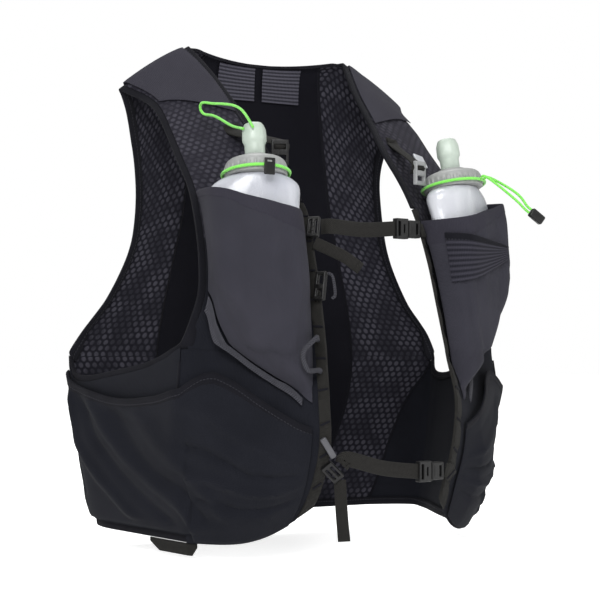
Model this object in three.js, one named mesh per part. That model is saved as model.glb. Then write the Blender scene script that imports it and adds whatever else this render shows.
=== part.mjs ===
// Running hydration vest with two soft flasks, as worn: front at -Y, the wearer's left at +X, up at +Z.
// Lengths are in millimetres. Every cloth piece is a thin wall laid on one body form, and each
// table gives its lengths as shares of the named sizes. Pieces are drawn on the wearer's left and
// mirrored for the right.
import * as THREE from 'three';

// Body form
const halfWidth = 188;      // from the middle to the side, at the foot of the armhole
const frontReach = 148;     // from the middle plane to the belly
const backReach = 81;       // from the middle plane to the middle of the back
const rise = 265;           // from the chest line up to the neck point
const drop = 154;           // from the chest line down to the lowest hem
const backHem = 146;        // from the chest line down to the hem at the back
const hemCorner = 31;       // height that the rounded front corner takes off the hem
const neckDip = 7;          // how far the back neckline hangs below the neck points
const crestLift = 3;        // how far the strap arches up between its edges at the shoulder crest
const cornerRound = 15;     // the side's rounding where it turns into the back

// Cloth and trims
const cloth = 1.8;          // wall of the panels
const skin = 1.3;           // wall of the pockets and covers
const gap = 0.4;            // clearance between pieces that touch
const bindingWidth = 7;
const bindingThick = 2.8;
const webbingWidth = 9;
const webbingThick = 2;
const windowWidth = 38;
const elasticWidth = 7;

// Soft flask
const flaskHalfWidth = 36;
const flaskHalfDepth = 16.5;
const flaskLength = 172;
const capRadius = 25;
const capHeight = 17;
const valveRadius = 9;
const valveHeight = 27;
const neckCord = 2.6;

// Cords and straps
const cordDiameter = 2.2;
const strapWidth = 12;
const strapThick = 1.6;
const buckleWidth = 17;
const buckleThick = 6;

const black = { color: 0x17171b, roughness: 0.9, metalness: 0 };
const colours = {
  mesh: { color: 0x26262c, roughness: 0.95, metalness: 0 },
  smooth: { color: 0x1b1a20, roughness: 0.9, metalness: 0 },
  pocket: { color: 0x3b3a42, roughness: 0.85, metalness: 0 },
  stretch: { color: 0x24262b, roughness: 0.9, metalness: 0 },
  binding: black,
  webbing: { color: 0x2b2b29, roughness: 0.85, metalness: 0 },
  elastic: { color: 0x1c1d1f, roughness: 0.85, metalness: 0 },
  buckle: { color: 0x1d1d1c, roughness: 0.45, metalness: 0 },
  bottle: { color: 0xd9dae6, roughness: 0.35, metalness: 0 },
  cap: { color: 0xa4a6a4, roughness: 0.5, metalness: 0 },
  valve: { color: 0xdcefdf, roughness: 0.4, metalness: 0 },
  cord: { color: 0x7fe04a, roughness: 0.6, metalness: 0 },
  reflective: { color: 0xc9ccd0, roughness: 0.3, metalness: 0.2 },
};

const vest = new THREE.Group();

// Numbers and points

const mix = (a, b, t) => a + (b - a) * t;
const clamp = (v, low, high) => Math.min(high, Math.max(low, v));
const vec = (x, y, z) => new THREE.Vector3(x, y, z);

// A point given as shares: y is a share of the front reach when negative and of the back reach
// otherwise, and z is a share of the drop when negative and of the rise otherwise.
function place(x, y, z) {
  return vec(x * halfWidth, y * (y < 0 ? frontReach : backReach), z * (z < 0 ? drop : rise));
}

// A smooth curve through points; t runs from 0 to 1 with the same step between all points.
function curve(points) {
  return new THREE.CatmullRomCurve3(points, false, 'catmullrom', 0.5);
}

// A column of a table whose rows are evenly spaced, read smoothly at t from 0 to 1.
function column(rows, name, t) {
  const last = rows.length - 1;
  const s = clamp(t, 0, 1) * last;
  const i = Math.min(Math.floor(s), last - 1);
  const f = s - i;
  const value = (k) => rows[clamp(k, 0, last)][name];
  const [a, b, c, d] = [value(i - 1), value(i), value(i + 1), value(i + 2)];
  return b + 0.5 * f * (c - a + f * (2 * a - 5 * b + 4 * c - d + f * (3 * (b - c) + d - a)));
}

// A column of a table whose rows stand at their own places, joined by straight lines.
function along(rows, key, name, v) {
  let i = 0;
  while (i < rows.length - 2 && rows[i + 1][key] < v) i += 1;
  const [a, b] = [rows[i], rows[i + 1]];
  return mix(a[name], b[name], clamp((v - a[key]) / (b[key] - a[key]), 0, 1));
}

// Tables of the body form

// The body below the chest line, in rows evenly spaced from the chest line down to the hem.
const lowerRows = [
  { edgeX: 0.296, edgeY: -0.936, seamX: 0.798, seamY: -0.50, cornerX: 1.015, cornerY: 0.86, centre: 1.00, bulge: -0.055 },
  { edgeX: 0.312, edgeY: -0.997, seamX: 0.814, seamY: -0.51, cornerX: 0.990, cornerY: 0.86, centre: 0.98, bulge: 0.01 },
  { edgeX: 0.303, edgeY: -0.983, seamX: 0.782, seamY: -0.432, cornerX: 0.960, cornerY: 0.85, centre: 0.96, bulge: 0.06 },
  { edgeX: 0.309, edgeY: -0.865, seamX: 0.745, seamY: -0.392, cornerX: 0.928, cornerY: 0.83, centre: 0.92, bulge: 0.07 },
  { edgeX: 0.362, edgeY: -0.703, seamX: 0.713, seamY: -0.351, cornerX: 0.896, cornerY: 0.79, centre: 0.88, bulge: 0.05 },
];
// Where the slanting seam between side and back crosses each of those rows, as a share of the
// way round from the side seam (0) to the middle of the back (1).
const slantRows = [{ q: 0.5 }, { q: 0.62 }, { q: 0.67 }, { q: 0.70 }, { q: 0.735 }];

// The front above the chest line, from the chest line up to the shoulder crest: the front edge
// and the armhole edge.
const upperRows = [
  { edgeX: 0.296, edgeY: -0.936, edgeZ: 0.000, armX: 0.798, armY: -0.500, armZ: 0.026, bulge: -0.055 },
  { edgeX: 0.287, edgeY: -0.865, edgeZ: 0.143, armX: 0.763, armY: -0.608, armZ: 0.151, bulge: -0.085 },
  { edgeX: 0.282, edgeY: -0.784, edgeZ: 0.279, armX: 0.745, armY: -0.581, armZ: 0.272, bulge: -0.080 },
  { edgeX: 0.272, edgeY: -0.681, edgeZ: 0.415, armX: 0.729, armY: -0.473, armZ: 0.408, bulge: -0.045 },
  { edgeX: 0.298, edgeY: -0.486, edgeZ: 0.528, armX: 0.713, armY: -0.351, armZ: 0.498, bulge: 0.000 },
  { edgeX: 0.310, edgeY: -0.270, edgeZ: 0.642, armX: 0.711, armY: -0.216, armZ: 0.581, bulge: 0.015 },
  { edgeX: 0.335, edgeY: -0.068, edgeZ: 0.755, armX: 0.702, armY: -0.054, armZ: 0.672, bulge: 0.020 },
  { edgeX: 0.359, edgeY: 0.265, edgeZ: 0.868, armX: 0.700, armY: 0.173, armZ: 0.755, bulge: 0.018 },
  { edgeX: 0.388, edgeY: 0.519, edgeZ: 0.943, armX: 0.715, armY: 0.440, armZ: 0.802, bulge: 0.010 },
  { edgeX: 0.415, edgeY: 0.723, edgeZ: 1.000, armX: 0.777, armY: 0.704, armZ: 0.842, bulge: 0.000 },
];

// The back's armhole edge, from the chest line up to the shoulder crest.
const armBackRows = [
  { x: 0.936, y: 0.778, z: 0.068 },
  { x: 0.840, y: 0.784, z: 0.151 },
  { x: 0.777, y: 0.784, z: 0.226 },
  { x: 0.726, y: 0.784, z: 0.302 },
  { x: 0.694, y: 0.790, z: 0.377 },
  { x: 0.674, y: 0.815, z: 0.491 },
  { x: 0.674, y: 0.852, z: 0.604 },
  { x: 0.697, y: 0.833, z: 0.694 },
  { x: 0.729, y: 0.778, z: 0.774 },
  { x: 0.777, y: 0.704, z: 0.842 },
];
// The height of the foot of the armhole round the side, and how far the middle back stands
// behind, from the chest line up to the neck.
const footRows = [{ z: 0.026 }, { z: -0.060 }, { z: -0.105 }, { z: -0.138 }, { z: -0.110 }, { z: 0.0 }];
const spineRows = [{ y: 1.0 }, { y: 1.0 }, { y: 0.99 }, { y: 0.97 }, { y: 0.93 }];
// Half the width of the smooth middle panel of the back, from hem to neck.
const middleRows = [{ x: 0.31 }, { x: 0.40 }, { x: 0.505 }, { x: 0.535 }, { x: 0.46 }, { x: 0.36 }, { x: 0.31 }];

// The body form

const spread = (bulge) => bulge * halfWidth;

// The point of the lower body at height z, q of the way from the side seam to the middle back.
function ringPoint(z, q) {
  const t = clamp(-z / drop, 0, 1);
  const seam = place(column(lowerRows, 'seamX', t), column(lowerRows, 'seamY', t), 0);
  const corner = place(column(lowerRows, 'cornerX', t), column(lowerRows, 'cornerY', t), 0);
  const centre = place(0, column(lowerRows, 'centre', t), 0);
  const back = corner.clone().lerp(centre, 0.5);
  back.y = mix(corner.y, centre.y, 0.72);
  const side = seam.clone().lerp(corner, 0.5);
  const before = corner.clone().add(seam.clone().sub(corner).setLength(cornerRound));
  const after = corner.clone().add(back.clone().sub(corner).setLength(cornerRound));
  const p = curve([seam, side, before, after, back, centre]).getPoint(q);
  return p.setZ(z);
}

const slantAt = (z) => column(slantRows, 'q', clamp(-z / drop, 0, 1));

// The lowest point of the cloth at a share u of the way from the front edge to the side seam.
const hemAt = (u) => -drop + hemCorner * (1 - u) ** 5;

// The front panel: u from the front edge to the armhole or side seam, v from the hem (0) past
// the chest line (1) to the shoulder crest (2).
function frontPoint(u, v) {
  if (v <= 1) {
    const top = mix(0, footRows[0].z * rise, u);
    const z = mix(hemAt(u), top, v);
    const t = clamp(-z / drop, 0, 1);
    const edge = place(column(lowerRows, 'edgeX', t), column(lowerRows, 'edgeY', t), 0);
    const seam = place(column(lowerRows, 'seamX', t), column(lowerRows, 'seamY', t), 0);
    return bowed(edge, seam, u, spread(column(lowerRows, 'bulge', t))).setZ(z);
  }
  const t = v - 1;
  const read = (name) => column(upperRows, name, t);
  const edge = frontEdges.edge.getPoint(t);
  const arm = frontEdges.arm.getPoint(t);
  const p = bowed(edge, arm, u, spread(read('bulge')));
  p.z += crestLift * smooth(t, 0.6, 1) * 4 * u * (1 - u);
  return p;
}

const frontEdges = {
  edge: curve(upperRows.map((r) => place(r.edgeX, r.edgeY, r.edgeZ))),
  arm: curve(upperRows.map((r) => place(r.armX, r.armY, r.armZ))),
};

// A point u of the way from a to b, pushed out square to the line between them.
function bowed(a, b, u, bulge) {
  const out = vec(b.y - a.y, a.x - b.x, 0).normalize();
  return a.clone().lerp(b, u).addScaledVector(out, bulge * 4 * u * (1 - u));
}

// The side panel: t from the side seam to the slanting seam, w from the hem to the armhole.
function sidePoint(t, w) {
  const share = column(footRows, 'z', t);
  const top = share * (share < 0 ? drop : rise);
  const z = mix(mix(-drop, -backHem, t), top, w);
  return ringPoint(z, mix(0, slantAt(z), t));
}

const armBack = curve([ringPoint(0, slantRows[0].q), ...armBackRows.map((r) => place(r.x, r.y, r.z))]);
const neckShare = upperRows.at(-1).edgeX / upperRows.at(-1).armX;

// The back: u from the middle to the slanting seam or the armhole, v from the hem (0) past the
// chest line (1) to the neckline and the shoulder crest (2).
function backPoint(u, v) {
  const neck = place(0, spineRows.at(-1).y, 1);
  neck.z -= neckDip;
  if (v <= 1) {
    const z = mix(-backHem, 0, v);
    const outer = ringPoint(z, slantAt(z));
    const centre = ringPoint(z, 1);
    return vec(u * outer.x, mix(centre.y, outer.y, u ** 2.4), z);
  }
  const t = v - 1;
  const outer = armBack.getPoint(t);
  const centre = place(0, column(spineRows, 'y', t), t);
  centre.z *= neck.z / rise;
  const crest = smooth(t, 0.7, 1);
  const strapShare = (u - neckShare) / (1 - neckShare);
  const bend = mix(u ** 2.4, Math.min(1, u / neckShare) ** 2, crest);
  const p = vec(u * outer.x, mix(centre.y, outer.y, bend), mix(centre.z, outer.z, u ** 1.6));
  const neckline = u < neckShare
    ? neck.z + neckDip * (u / neckShare) ** 2
    : mix(rise, outer.z, strapShare) + crestLift * 4 * strapShare * (1 - strapShare);
  p.z = mix(p.z, neckline, smooth(t, 0.45, 1));
  return p;
}

function smooth(v, low, high) {
  const s = clamp((v - low) / (high - low), 0, 1);
  return s * s * (3 - 2 * s);
}

// Solids

// Outward directions at the points of a grid, from its neighbours. A closed grid joins its last
// row to its first.
function gridNormals(grid, closed) {
  const rows = grid.length;
  const columns = grid[0].length;
  return grid.map((row, i) => row.map((_, j) => {
    const before = closed ? (i + rows - 1) % rows : Math.max(i - 1, 0);
    const after = closed ? (i + 1) % rows : Math.min(i + 1, rows - 1);
    const down = grid[after][j].clone().sub(grid[before][j]);
    const across = grid[i][Math.min(j + 1, columns - 1)].clone().sub(grid[i][Math.max(j - 1, 0)]);
    return across.cross(down).normalize();
  }));
}

// A closed body from triangles given as point indices, turned so that its faces point out.
function body(points, triangles) {
  let volume = 0;
  for (const [a, b, c] of triangles) {
    volume += points[a].dot(points[b].clone().cross(points[c]));
  }
  const index = triangles.flatMap(([a, b, c]) => (volume < 0 ? [a, c, b] : [a, b, c]));
  const geometry = new THREE.BufferGeometry();
  geometry.setAttribute('position', new THREE.Float32BufferAttribute(points.flatMap((p) => p.toArray()), 3));
  geometry.setIndex(index);
  geometry.computeVertexNormals();
  return geometry;
}

// A wall of a given thickness on a grid of points: it lies between two heights above the grid.
function wall(grid, low, high, closed = false) {
  const normals = gridNormals(grid, closed);
  const rows = grid.length;
  const columns = grid[0].length;
  const points = [];
  for (const height of [low, high]) {
    grid.forEach((row, i) => row.forEach((p, j) => points.push(p.clone().addScaledVector(normals[i][j], height))));
  }
  const at = (layer, i, j) => layer * rows * columns + (i % rows) * columns + j;
  const triangles = [];
  const quad = (a, b, c, d) => triangles.push([a, b, c], [a, c, d]);
  const last = closed ? rows : rows - 1;
  for (let i = 0; i < last; i += 1) {
    for (let j = 0; j < columns - 1; j += 1) {
      quad(at(0, i, j), at(0, i, j + 1), at(0, i + 1, j + 1), at(0, i + 1, j));
      quad(at(1, i, j), at(1, i + 1, j), at(1, i + 1, j + 1), at(1, i, j + 1));
    }
    quad(at(0, i + 1, 0), at(1, i + 1, 0), at(1, i, 0), at(0, i, 0));
    quad(at(0, i, columns - 1), at(1, i, columns - 1), at(1, i + 1, columns - 1), at(0, i + 1, columns - 1));
  }
  for (let j = 0; j < columns - 1 && !closed; j += 1) {
    quad(at(0, 0, j), at(1, 0, j), at(1, 0, j + 1), at(0, 0, j + 1));
    quad(at(0, rows - 1, j + 1), at(1, rows - 1, j + 1), at(1, rows - 1, j), at(0, rows - 1, j));
  }
  return body(points, triangles);
}

// A solid through closed sections with the same number of points, capped at both ends.
function loft(sections) {
  const sides = sections[0].length;
  const points = sections.flat();
  const triangles = [];
  for (let i = 0; i < sections.length - 1; i += 1) {
    for (let j = 0; j < sides; j += 1) {
      const [a, b] = [i * sides + j, i * sides + ((j + 1) % sides)];
      triangles.push([a, b, b + sides], [a, b + sides, a + sides]);
    }
  }
  const end = (sections.length - 1) * sides;
  for (let j = 1; j < sides - 1; j += 1) {
    triangles.push([0, j + 1, j], [end, end + j, end + j + 1]);
  }
  return body(points, triangles);
}

// A grid of points from a function of two shares that each run from 0 to 1.
function grid(rows, columns, pointAt) {
  return Array.from({ length: rows + 1 }, (_, i) =>
    Array.from({ length: columns + 1 }, (_, j) => pointAt(i / rows, j / columns)));
}

function add(name, geometry, colour) {
  const mesh = new THREE.Mesh(geometry, new THREE.MeshStandardMaterial(colours[colour]));
  mesh.name = name;
  vest.add(mesh);
  return mesh;
}

// The same piece on the wearer's left and, mirrored, on the right.
function addRight(name, geometry, colour) {
  add(name, geometry, colour).scale.x = -1;
}

function addPair(name, geometry, colour) {
  add(`${name}_left`, geometry, colour);
  addRight(`${name}_right`, geometry, colour);
}

// How far in from its edge a point moves to stand a length inside it, as a share of the row.
const inset = (length, a, b) => length / a.distanceTo(b);

// Panels

const seamGap = gap;
const trim = bindingWidth + 1.5 * gap;
const cornerTrim = trim + 3 * gap;   // more room where a binding turns a corner
const footTrim = (cornerTrim + 4 * gap) / drop;
const webbingEnd = 1.36;    // where the front webbing stops and the neck binding starts

// Rows from 0 to 2 with a close pair of rows at the foot of the armhole, where the edge steps in.
function rowsTo(top, below, above) {
  const foot = 1 - footTrim;
  const low = Array.from({ length: below + 1 }, (_, i) => (foot - 0.012) * (i / below));
  const high = Array.from({ length: above + 1 }, (_, i) => mix(foot, top, i / above));
  return [...low, ...high];
}

function strip(rows, columns, pointAt) {
  return rows.map((v) => Array.from({ length: columns + 1 }, (_, j) => pointAt(v, j / columns)));
}

const frontRows = rowsTo(1.992, 8, 12);

function frontPanel() {
  return wall(strip(frontRows, 6, (v, j) => {
    const ends = [frontPoint(0, v), frontPoint(1, v)];
    const outer = v < 1 - footTrim ? seamGap : trim;
    const inner = v < webbingEnd ? webbingWidth + 1.5 * gap : trim;
    return frontPoint(mix(inset(inner, ...ends), 1 - inset(outer, ...ends), j), v);
  }), 0, cloth);
}

function sidePanel() {
  return wall(grid(6, 10, (i, j) => {
    const ends = [sidePoint(j, 0), sidePoint(j, 1)];
    const span = [sidePoint(0, i), sidePoint(1, i)];
    const t = mix(inset(seamGap, ...span), 1 - inset(seamGap, ...span), j);
    return sidePoint(t, mix(inset(trim + gap, ...ends), 1 - inset(cornerTrim + gap * (2 + 10 * smooth(j, 0.75, 1)), ...ends), i));
  }), 0, cloth);
}

// Where the smooth middle of the back ends, as a share of the row at v.
function middleShare(v) {
  return column(middleRows, 'x', v / 2) * halfWidth / backPoint(1, v).x;
}

const hemRow = trim / backHem;
const neckRow = 2 - inset(cornerTrim + 5 * gap, backPoint(0, 1), backPoint(0, 2));
const backRows = rowsTo(neckRow, 6, 10).map((v, k) => (k === 0 ? hemRow : v));

function backMiddle() {
  return wall(strip(backRows, 12, (v, j) => {
    const edge = middleShare(v) - inset(seamGap, backPoint(0, v), backPoint(1, v));
    const p = backPoint(Math.abs(2 * j - 1) * edge, v);
    p.x *= Math.sign(j - 0.5);
    return p;
  }), -cloth, 0);
}

function backMesh() {
  return wall(strip(backRows, 5, (v, j) => {
    const row = [backPoint(0, v), backPoint(1, v)];
    const outer = v < 1 - footTrim ? seamGap : trim;
    return backPoint(mix(middleShare(v) + inset(seamGap, ...row), 1 - inset(outer, ...row), j), v);
  }), -cloth, 0);
}

addPair('front_panel', frontPanel(), 'mesh');
addPair('side_panel', sidePanel(), 'stretch');
add('back_middle', backMiddle(), 'smooth');
addPair('back_mesh', backMesh(), 'mesh');

// Bindings and webbing

// The stations of a band: pairs of an edge point and the point a width inside it.
const bindingLow = -0.4;
const bindingHigh = bindingThick + bindingLow;

function band(pairs, low, high, closed = false) {
  return wall(pairs.map(([a, b]) => [a, a.clone().lerp(b, 0.5), b]), low, high, closed);
}

const steps = (from, to, count) => Array.from({ length: count + 1 }, (_, i) => mix(from, to, i / count));

function frontStation(v, side, width) {
  const reach = inset(width, frontPoint(0, v), frontPoint(1, v));
  return side === 0
    ? [frontPoint(0, v), frontPoint(reach, v)]
    : [frontPoint(1 - reach, v), frontPoint(1, v)];
}

function backStation(v) {
  return [backPoint(1 - inset(bindingWidth, backPoint(0, v), backPoint(1, v)), v), backPoint(1, v)];
}

function strap(points, width, thick, up = vec(0, 0, 1)) {
  const half = up.clone().setLength(width / 2);
  return wall(points.map((p) => [p.clone().add(half), p.clone().sub(half)]), -thick / 2, thick / 2);
}

function armholeBinding() {
  const width = bindingWidth;
  const foot = bindingWidth / drop;
  const corner = (pointAt, v) => pointAt(1 - inset(width, pointAt(0, v), pointAt(1, v)), v);
  const side = steps(0.9, 0.1, 8).map((t) => {
    const reach = inset(width, sidePoint(t, 0), sidePoint(t, 1));
    return [sidePoint(t, 1 - reach), sidePoint(t, 1)];
  });
  return band([
    [corner(frontPoint, 1 - foot), frontPoint(1, 1)],
    ...frontRows.filter((v) => v > 1.02 && v < 1.95).map((v) => frontStation(v, 1, width)),
    frontStation(2, 1, width),
    ...backRows.filter((v) => v > 1.02).reverse().map(backStation),
    [corner(backPoint, 1 - foot), backPoint(1, 1)],
    ...side,
  ], bindingLow, bindingHigh, true);
}

function neckBinding() {
  const down = inset(bindingWidth, backPoint(0, 1), backPoint(0, 2));
  const half = [
    ...[webbingEnd + 0.004, ...frontRows.filter((v) => v > webbingEnd + 0.02 && v < 1.95)]
      .map((v) => frontStation(v, 0, bindingWidth)),
    frontStation(2, 0, bindingWidth),
    ...steps(0.9, 0.12, 6).map((s) => [backPoint(s * neckShare, 2), backPoint(s * neckShare, 2 - down)]),
  ];
  const other = half.map((pair) => pair.map((p) => vec(-p.x, p.y, p.z))).reverse();
  return band([...half, ...other], bindingLow, bindingHigh);
}

function hemBinding() {
  const high = bindingWidth;
  const side = [0.008, ...steps(0.1, 1, 9)].map((t) => {
    const z = mix(-drop, -backHem, t);
    return [z + high, z].map((level) => ringPoint(level, t * slantAt(z)));
  });
  const back = steps(0.85, 0.1, 5).map((u) =>
    [hemRow * (high / trim), 0].map((v) => backPoint(u, v)));
  const half = [...side, ...back];
  const other = half.map((pair) => pair.map((p) => vec(-p.x, p.y, p.z))).reverse();
  return band([...half, ...other], bindingLow, bindingHigh);
}

function frontWebbing() {
  const rows = frontRows.filter((v) => v > 0.01 && v < webbingEnd - 0.02);
  const pairs = [0.015, ...rows, webbingEnd - 0.004].map((v) => frontStation(v, 0, webbingWidth));
  return band(pairs, 0, webbingThick + cloth / 2);
}

// A point above the front panel, square to it, and a block that lies flat at that height.
function frontFrame(u, v) {
  const step = 0.004;
  const across = frontPoint(u + step, v).sub(frontPoint(u, v)).normalize();
  const up = frontPoint(u, v + step).sub(frontPoint(u, v));
  up.addScaledVector(across, -up.dot(across)).normalize();
  return { across, up, out: across.clone().cross(up) };
}

const onFront = (u, v, height) => frontPoint(u, v).addScaledVector(frontFrame(u, v).out, height);

function blockOnFront(u, v, height, length, tall, deep) {
  const { across, up, out } = frontFrame(u, v);
  const turn = new THREE.Matrix4().makeBasis(across, up, out).setPosition(onFront(u, v, height + deep / 2));
  return new THREE.BoxGeometry(length, tall, deep).applyMatrix4(turn);
}

addPair('armhole_binding', armholeBinding(), 'binding');
add('neck_binding', neckBinding(), 'binding');
add('hem_binding', hemBinding(), 'binding');
addPair('front_webbing', frontWebbing(), 'webbing');

// Shoulder covers and pockets

// A grid moved out along its own normals by a height that differs over it.
function raised(base, heightAt) {
  const normals = gridNormals(base, false);
  const last = base.length - 1;
  return base.map((row, i) => row.map((p, j) =>
    p.clone().addScaledVector(normals[i][j], heightAt(i / last, j / (row.length - 1)))));
}

const onCloth = cloth + gap;

function shoulderCover() {
  const reach = (pointAt, v) => inset(trim, pointAt(0, v), pointAt(1, v));
  const front = grid(5, 4, (i, j) => {
    const u = mix(reach(frontPoint, 1.8), 1 - reach(frontPoint, 1.8), j);
    return frontPoint(u, mix(mix(1.67, 1.83, u), 2, i));
  });
  const strap = (v) => mix(v === 2 ? neckShare : neckShare * 0.9, 1, 0);
  const back = grid(3, 4, (i, j) => {
    const v = mix(1.965, 1.87, i);
    const start = strap(v) + inset(trim + gap, backPoint(0, v), backPoint(1, v));
    return backPoint(mix(start, 1 - inset(trim, backPoint(0, v), backPoint(1, v)), j), v);
  });
  return wall([...front, ...back], onCloth + gap, onCloth + gap + skin);
}

addPair('shoulder_cover', shoulderCover(), 'pocket');

// The flask pocket: how far it stands out from the straight line between the panel's edges.
const pocketStart = 0.11;
const pocketEnd = 0.92;
const pocketSpill = 6;      // how far the full pocket bulges past its own seams
const pocketFoot = [{ v: 0.70 }, { v: 0.80 }, { v: 0.865 }, { v: 0.93 }, { v: 1.0 }, { v: 1.06 }, { v: 1.13 }];
const pocketTop = [{ v: 1.325 }, { v: 1.365 }, { v: 1.415 }];
const pocketDepth = [
  { v: 0.68, out: 6 },
  { v: 0.85, out: 19 },
  { v: 1.00, out: 23 },
  { v: 1.16, out: 26.5 },
  { v: 1.27, out: 36 },
  { v: 1.42, out: 53 },
];

const chord = (u, v) => {
  const [a, b] = [frontPoint(0, v), frontPoint(1, v)];
  return { a, b, out: vec(b.y - a.y, a.x - b.x, 0).normalize() };
};

// A point on the pocket's base line: s across the pocket, v up the front, out from the panel.
function pocketPoint(s, v, lift = 0) {
  const u = mix(pocketStart, pocketEnd, s);
  const { a, b, out } = chord(u, v);
  const base = frontPoint(u, v);
  const flat = a.lerp(b, u);
  const foot = column(pocketFoot, 'v', s);
  const fade = smooth(v, foot - 0.05, foot + 0.12);
  const plump = fade * (1 - Math.abs(2 * s - 1) ** 7);
  const aside = vec(-out.y, out.x, 0).multiplyScalar(pocketSpill * (2 * s - 1) * plump);
  const free = flat.addScaledVector(out, along(pocketDepth, 'v', 'out', v) * plump);
  const lay = mix(1.3, 1.7, clamp(v - 0.7, 0, 1)) * onCloth + lift;
  const height = Math.max(free.sub(base).dot(out) + lift, lay);
  return base.addScaledVector(out, height).add(aside);
}

function flaskPocket() {
  return wall(grid(12, 10, (i, j) => {
    const s = 0.5 - 0.5 * Math.cos(Math.PI * j);
    return pocketPoint(s, mix(column(pocketFoot, 'v', s), column(pocketTop, 'v', s), i));
  }), 0, skin);
}

// The stretch strip sewn along the pocket's slanting foot.
function pocketElastic() {
  return wall(grid(2, 10, (i, j) => {
    const s = mix(0.08, 1, j);
    const foot = column(pocketFoot, 'v', s);
    const step = (elasticWidth + gap) / mix(drop, rise / 2, 0.5);
    return pocketPoint(s, mix(foot - step, foot - 0.012, i), 2.4);
  }), 0, skin);
}

addPair('flask_pocket', flaskPocket(), 'pocket');
addPair('pocket_elastic', pocketElastic(), 'webbing');

// The side pocket runs from the front webbing round the side: q from the front edge (0) past
// the side seam (1) to the slanting seam at the back (2).
const sidePocketRows = [
  { q: 0.12, top: -0.400, out: 6 },
  { q: 0.25, top: -0.345, out: 10 },
  { q: 0.45, top: -0.255, out: 11 },
  { q: 0.65, top: -0.165, out: 9 },
  { q: 0.85, top: -0.105, out: 8 },
  { q: 1.00, top: -0.220, out: 8 },
  { q: 1.30, top: -0.260, out: 9 },
  { q: 1.60, top: -0.190, out: 5 },
  { q: 1.85, top: -0.130, out: 3.2 },
  { q: 1.97, top: -0.100, out: 2.6 },
];

function lowerPoint(q, z) {
  const t = clamp(-z / drop, 0, 1);
  if (q > 1) return ringPoint(z, (q - 1) * slantAt(z));
  const edge = place(column(lowerRows, 'edgeX', t), column(lowerRows, 'edgeY', t), 0);
  const seam = place(column(lowerRows, 'seamX', t), column(lowerRows, 'seamY', t), 0);
  return bowed(edge, seam, q, spread(column(lowerRows, 'bulge', t))).setZ(z);
}

function sidePocketGrid(rows, columns) {
  const first = sidePocketRows[0].q;
  const last = sidePocketRows.at(-1).q;
  const footAt = (q) => (q < 0.9 ? hemAt(q) + 2 : q < 1 ? -drop + cornerTrim : mix(-drop, -backHem, q - 1) + cornerTrim);
  const read = (name, j) => along(sidePocketRows, 'q', name, mix(first, last, j));
  const base = grid(rows, columns, (i, j) => {
    const q = mix(first, last, j);
    return lowerPoint(q, mix(footAt(q), read('top', j) * drop, i));
  });
  return raised(base, (i, j) => {
    const pouch = Math.max(0, Math.sin(Math.PI * Math.min(1, i * 1.15)));
    const open = smooth(i, 0.6, 1) * 0.5;
    const ends = Math.min(1, 10 * Math.min(j, 1 - j));
    return onCloth + 2.5 * gap + (read('out', j) - onCloth) * ends * Math.max(pouch ** 0.6, open);
  });
}

addPair('side_pocket', wall(sidePocketGrid(6, 17), 0, skin), 'stretch');

// Soft flasks: drawn along their own axis from a point at the pocket's mouth.

const flaskMouth = place(0.511, -0.669, 0.453);
const flaskAxis = vec(-0.05, 0.19, 1).normalize();
const flaskSide = vec(0.94, 0.34, 0);
flaskSide.addScaledVector(flaskAxis, -flaskSide.dot(flaskAxis)).normalize();
const flaskFront = flaskAxis.clone().cross(flaskSide);
const onFlask = new THREE.Matrix4().makeBasis(flaskSide, flaskFront, flaskAxis).setPosition(flaskMouth);

// How wide and deep the body is down its length, as shares, and its shift towards the front edge.
const flaskRows = [
  { at: -0.755, wide: 0.26, deep: 0.22, shift: 16 },
  { at: -0.715, wide: 0.50, deep: 0.48, shift: 13 },
  { at: -0.650, wide: 0.72, deep: 0.70, shift: 10 },
  { at: -0.560, wide: 0.88, deep: 0.88, shift: 5 },
  { at: -0.420, wide: 0.95, deep: 0.98, shift: 0 },
  { at: -0.200, wide: 0.94, deep: 1.00, shift: -2.5 },
  { at: -0.030, wide: 1.02, deep: 1.02, shift: -3.6 },
  { at: 0.025, wide: 0.98, deep: 1.08, shift: -2 },
  { at: 0.070, wide: 0.80, deep: 1.08, shift: 0 },
  { at: 0.088, wide: 0.64, deep: 1.08, shift: 0 },
];
const capFoot = 0.088 * flaskLength + gap;

function flaskBody() {
  const sides = 16;
  return loft(flaskRows.map(({ at, wide, deep, shift }) => Array.from({ length: sides }, (_, k) => {
    const a = (2 * Math.PI * k) / sides;
    const across = wide * flaskHalfWidth * Math.cos(a) - shift;
    return vec(across, deep * flaskHalfDepth * Math.sin(a), at * flaskLength).applyMatrix4(onFlask);
  })));
}

// A round solid about the flask's axis, from its foot; each row is a radius and a height.
function turned(profile, foot, sides) {
  return loft(profile.map(([radius, height]) => Array.from({ length: sides }, (_, k) => {
    const a = (2 * Math.PI * k) / sides;
    return vec(radius * Math.cos(a), radius * Math.sin(a), foot + height).applyMatrix4(onFlask);
  })));
}

const cap = () => turned([
  [capRadius * 0.97, 0], [capRadius, 1.5], [capRadius, capHeight * 0.55],
  [capRadius * 0.92, capHeight * 0.72], [valveRadius * 1.2, capHeight],
], capFoot, 16);

const valve = () => turned([
  [valveRadius * 0.85, 0], [valveRadius * 0.85, valveHeight * 0.32], [valveRadius * 1.06, valveHeight * 0.5],
  [valveRadius * 1.06, valveHeight * 0.78], [valveRadius * 0.8, valveHeight],
], capFoot + capHeight + gap, 12);

// A tube of round cord along a curve, closed at both ends.
function tube(path, diameter, turns, sides = 8) {
  const outline = Array.from({ length: sides }, (_, k) => {
    const a = (2 * Math.PI * k) / sides;
    return new THREE.Vector2(Math.cos(a), Math.sin(a)).multiplyScalar(diameter / 2);
  });
  const settings = { steps: turns, extrudePath: path, bevelEnabled: false };
  const geometry = new THREE.ExtrudeGeometry(new THREE.Shape(outline), settings);
  return geometry;
}

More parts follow.
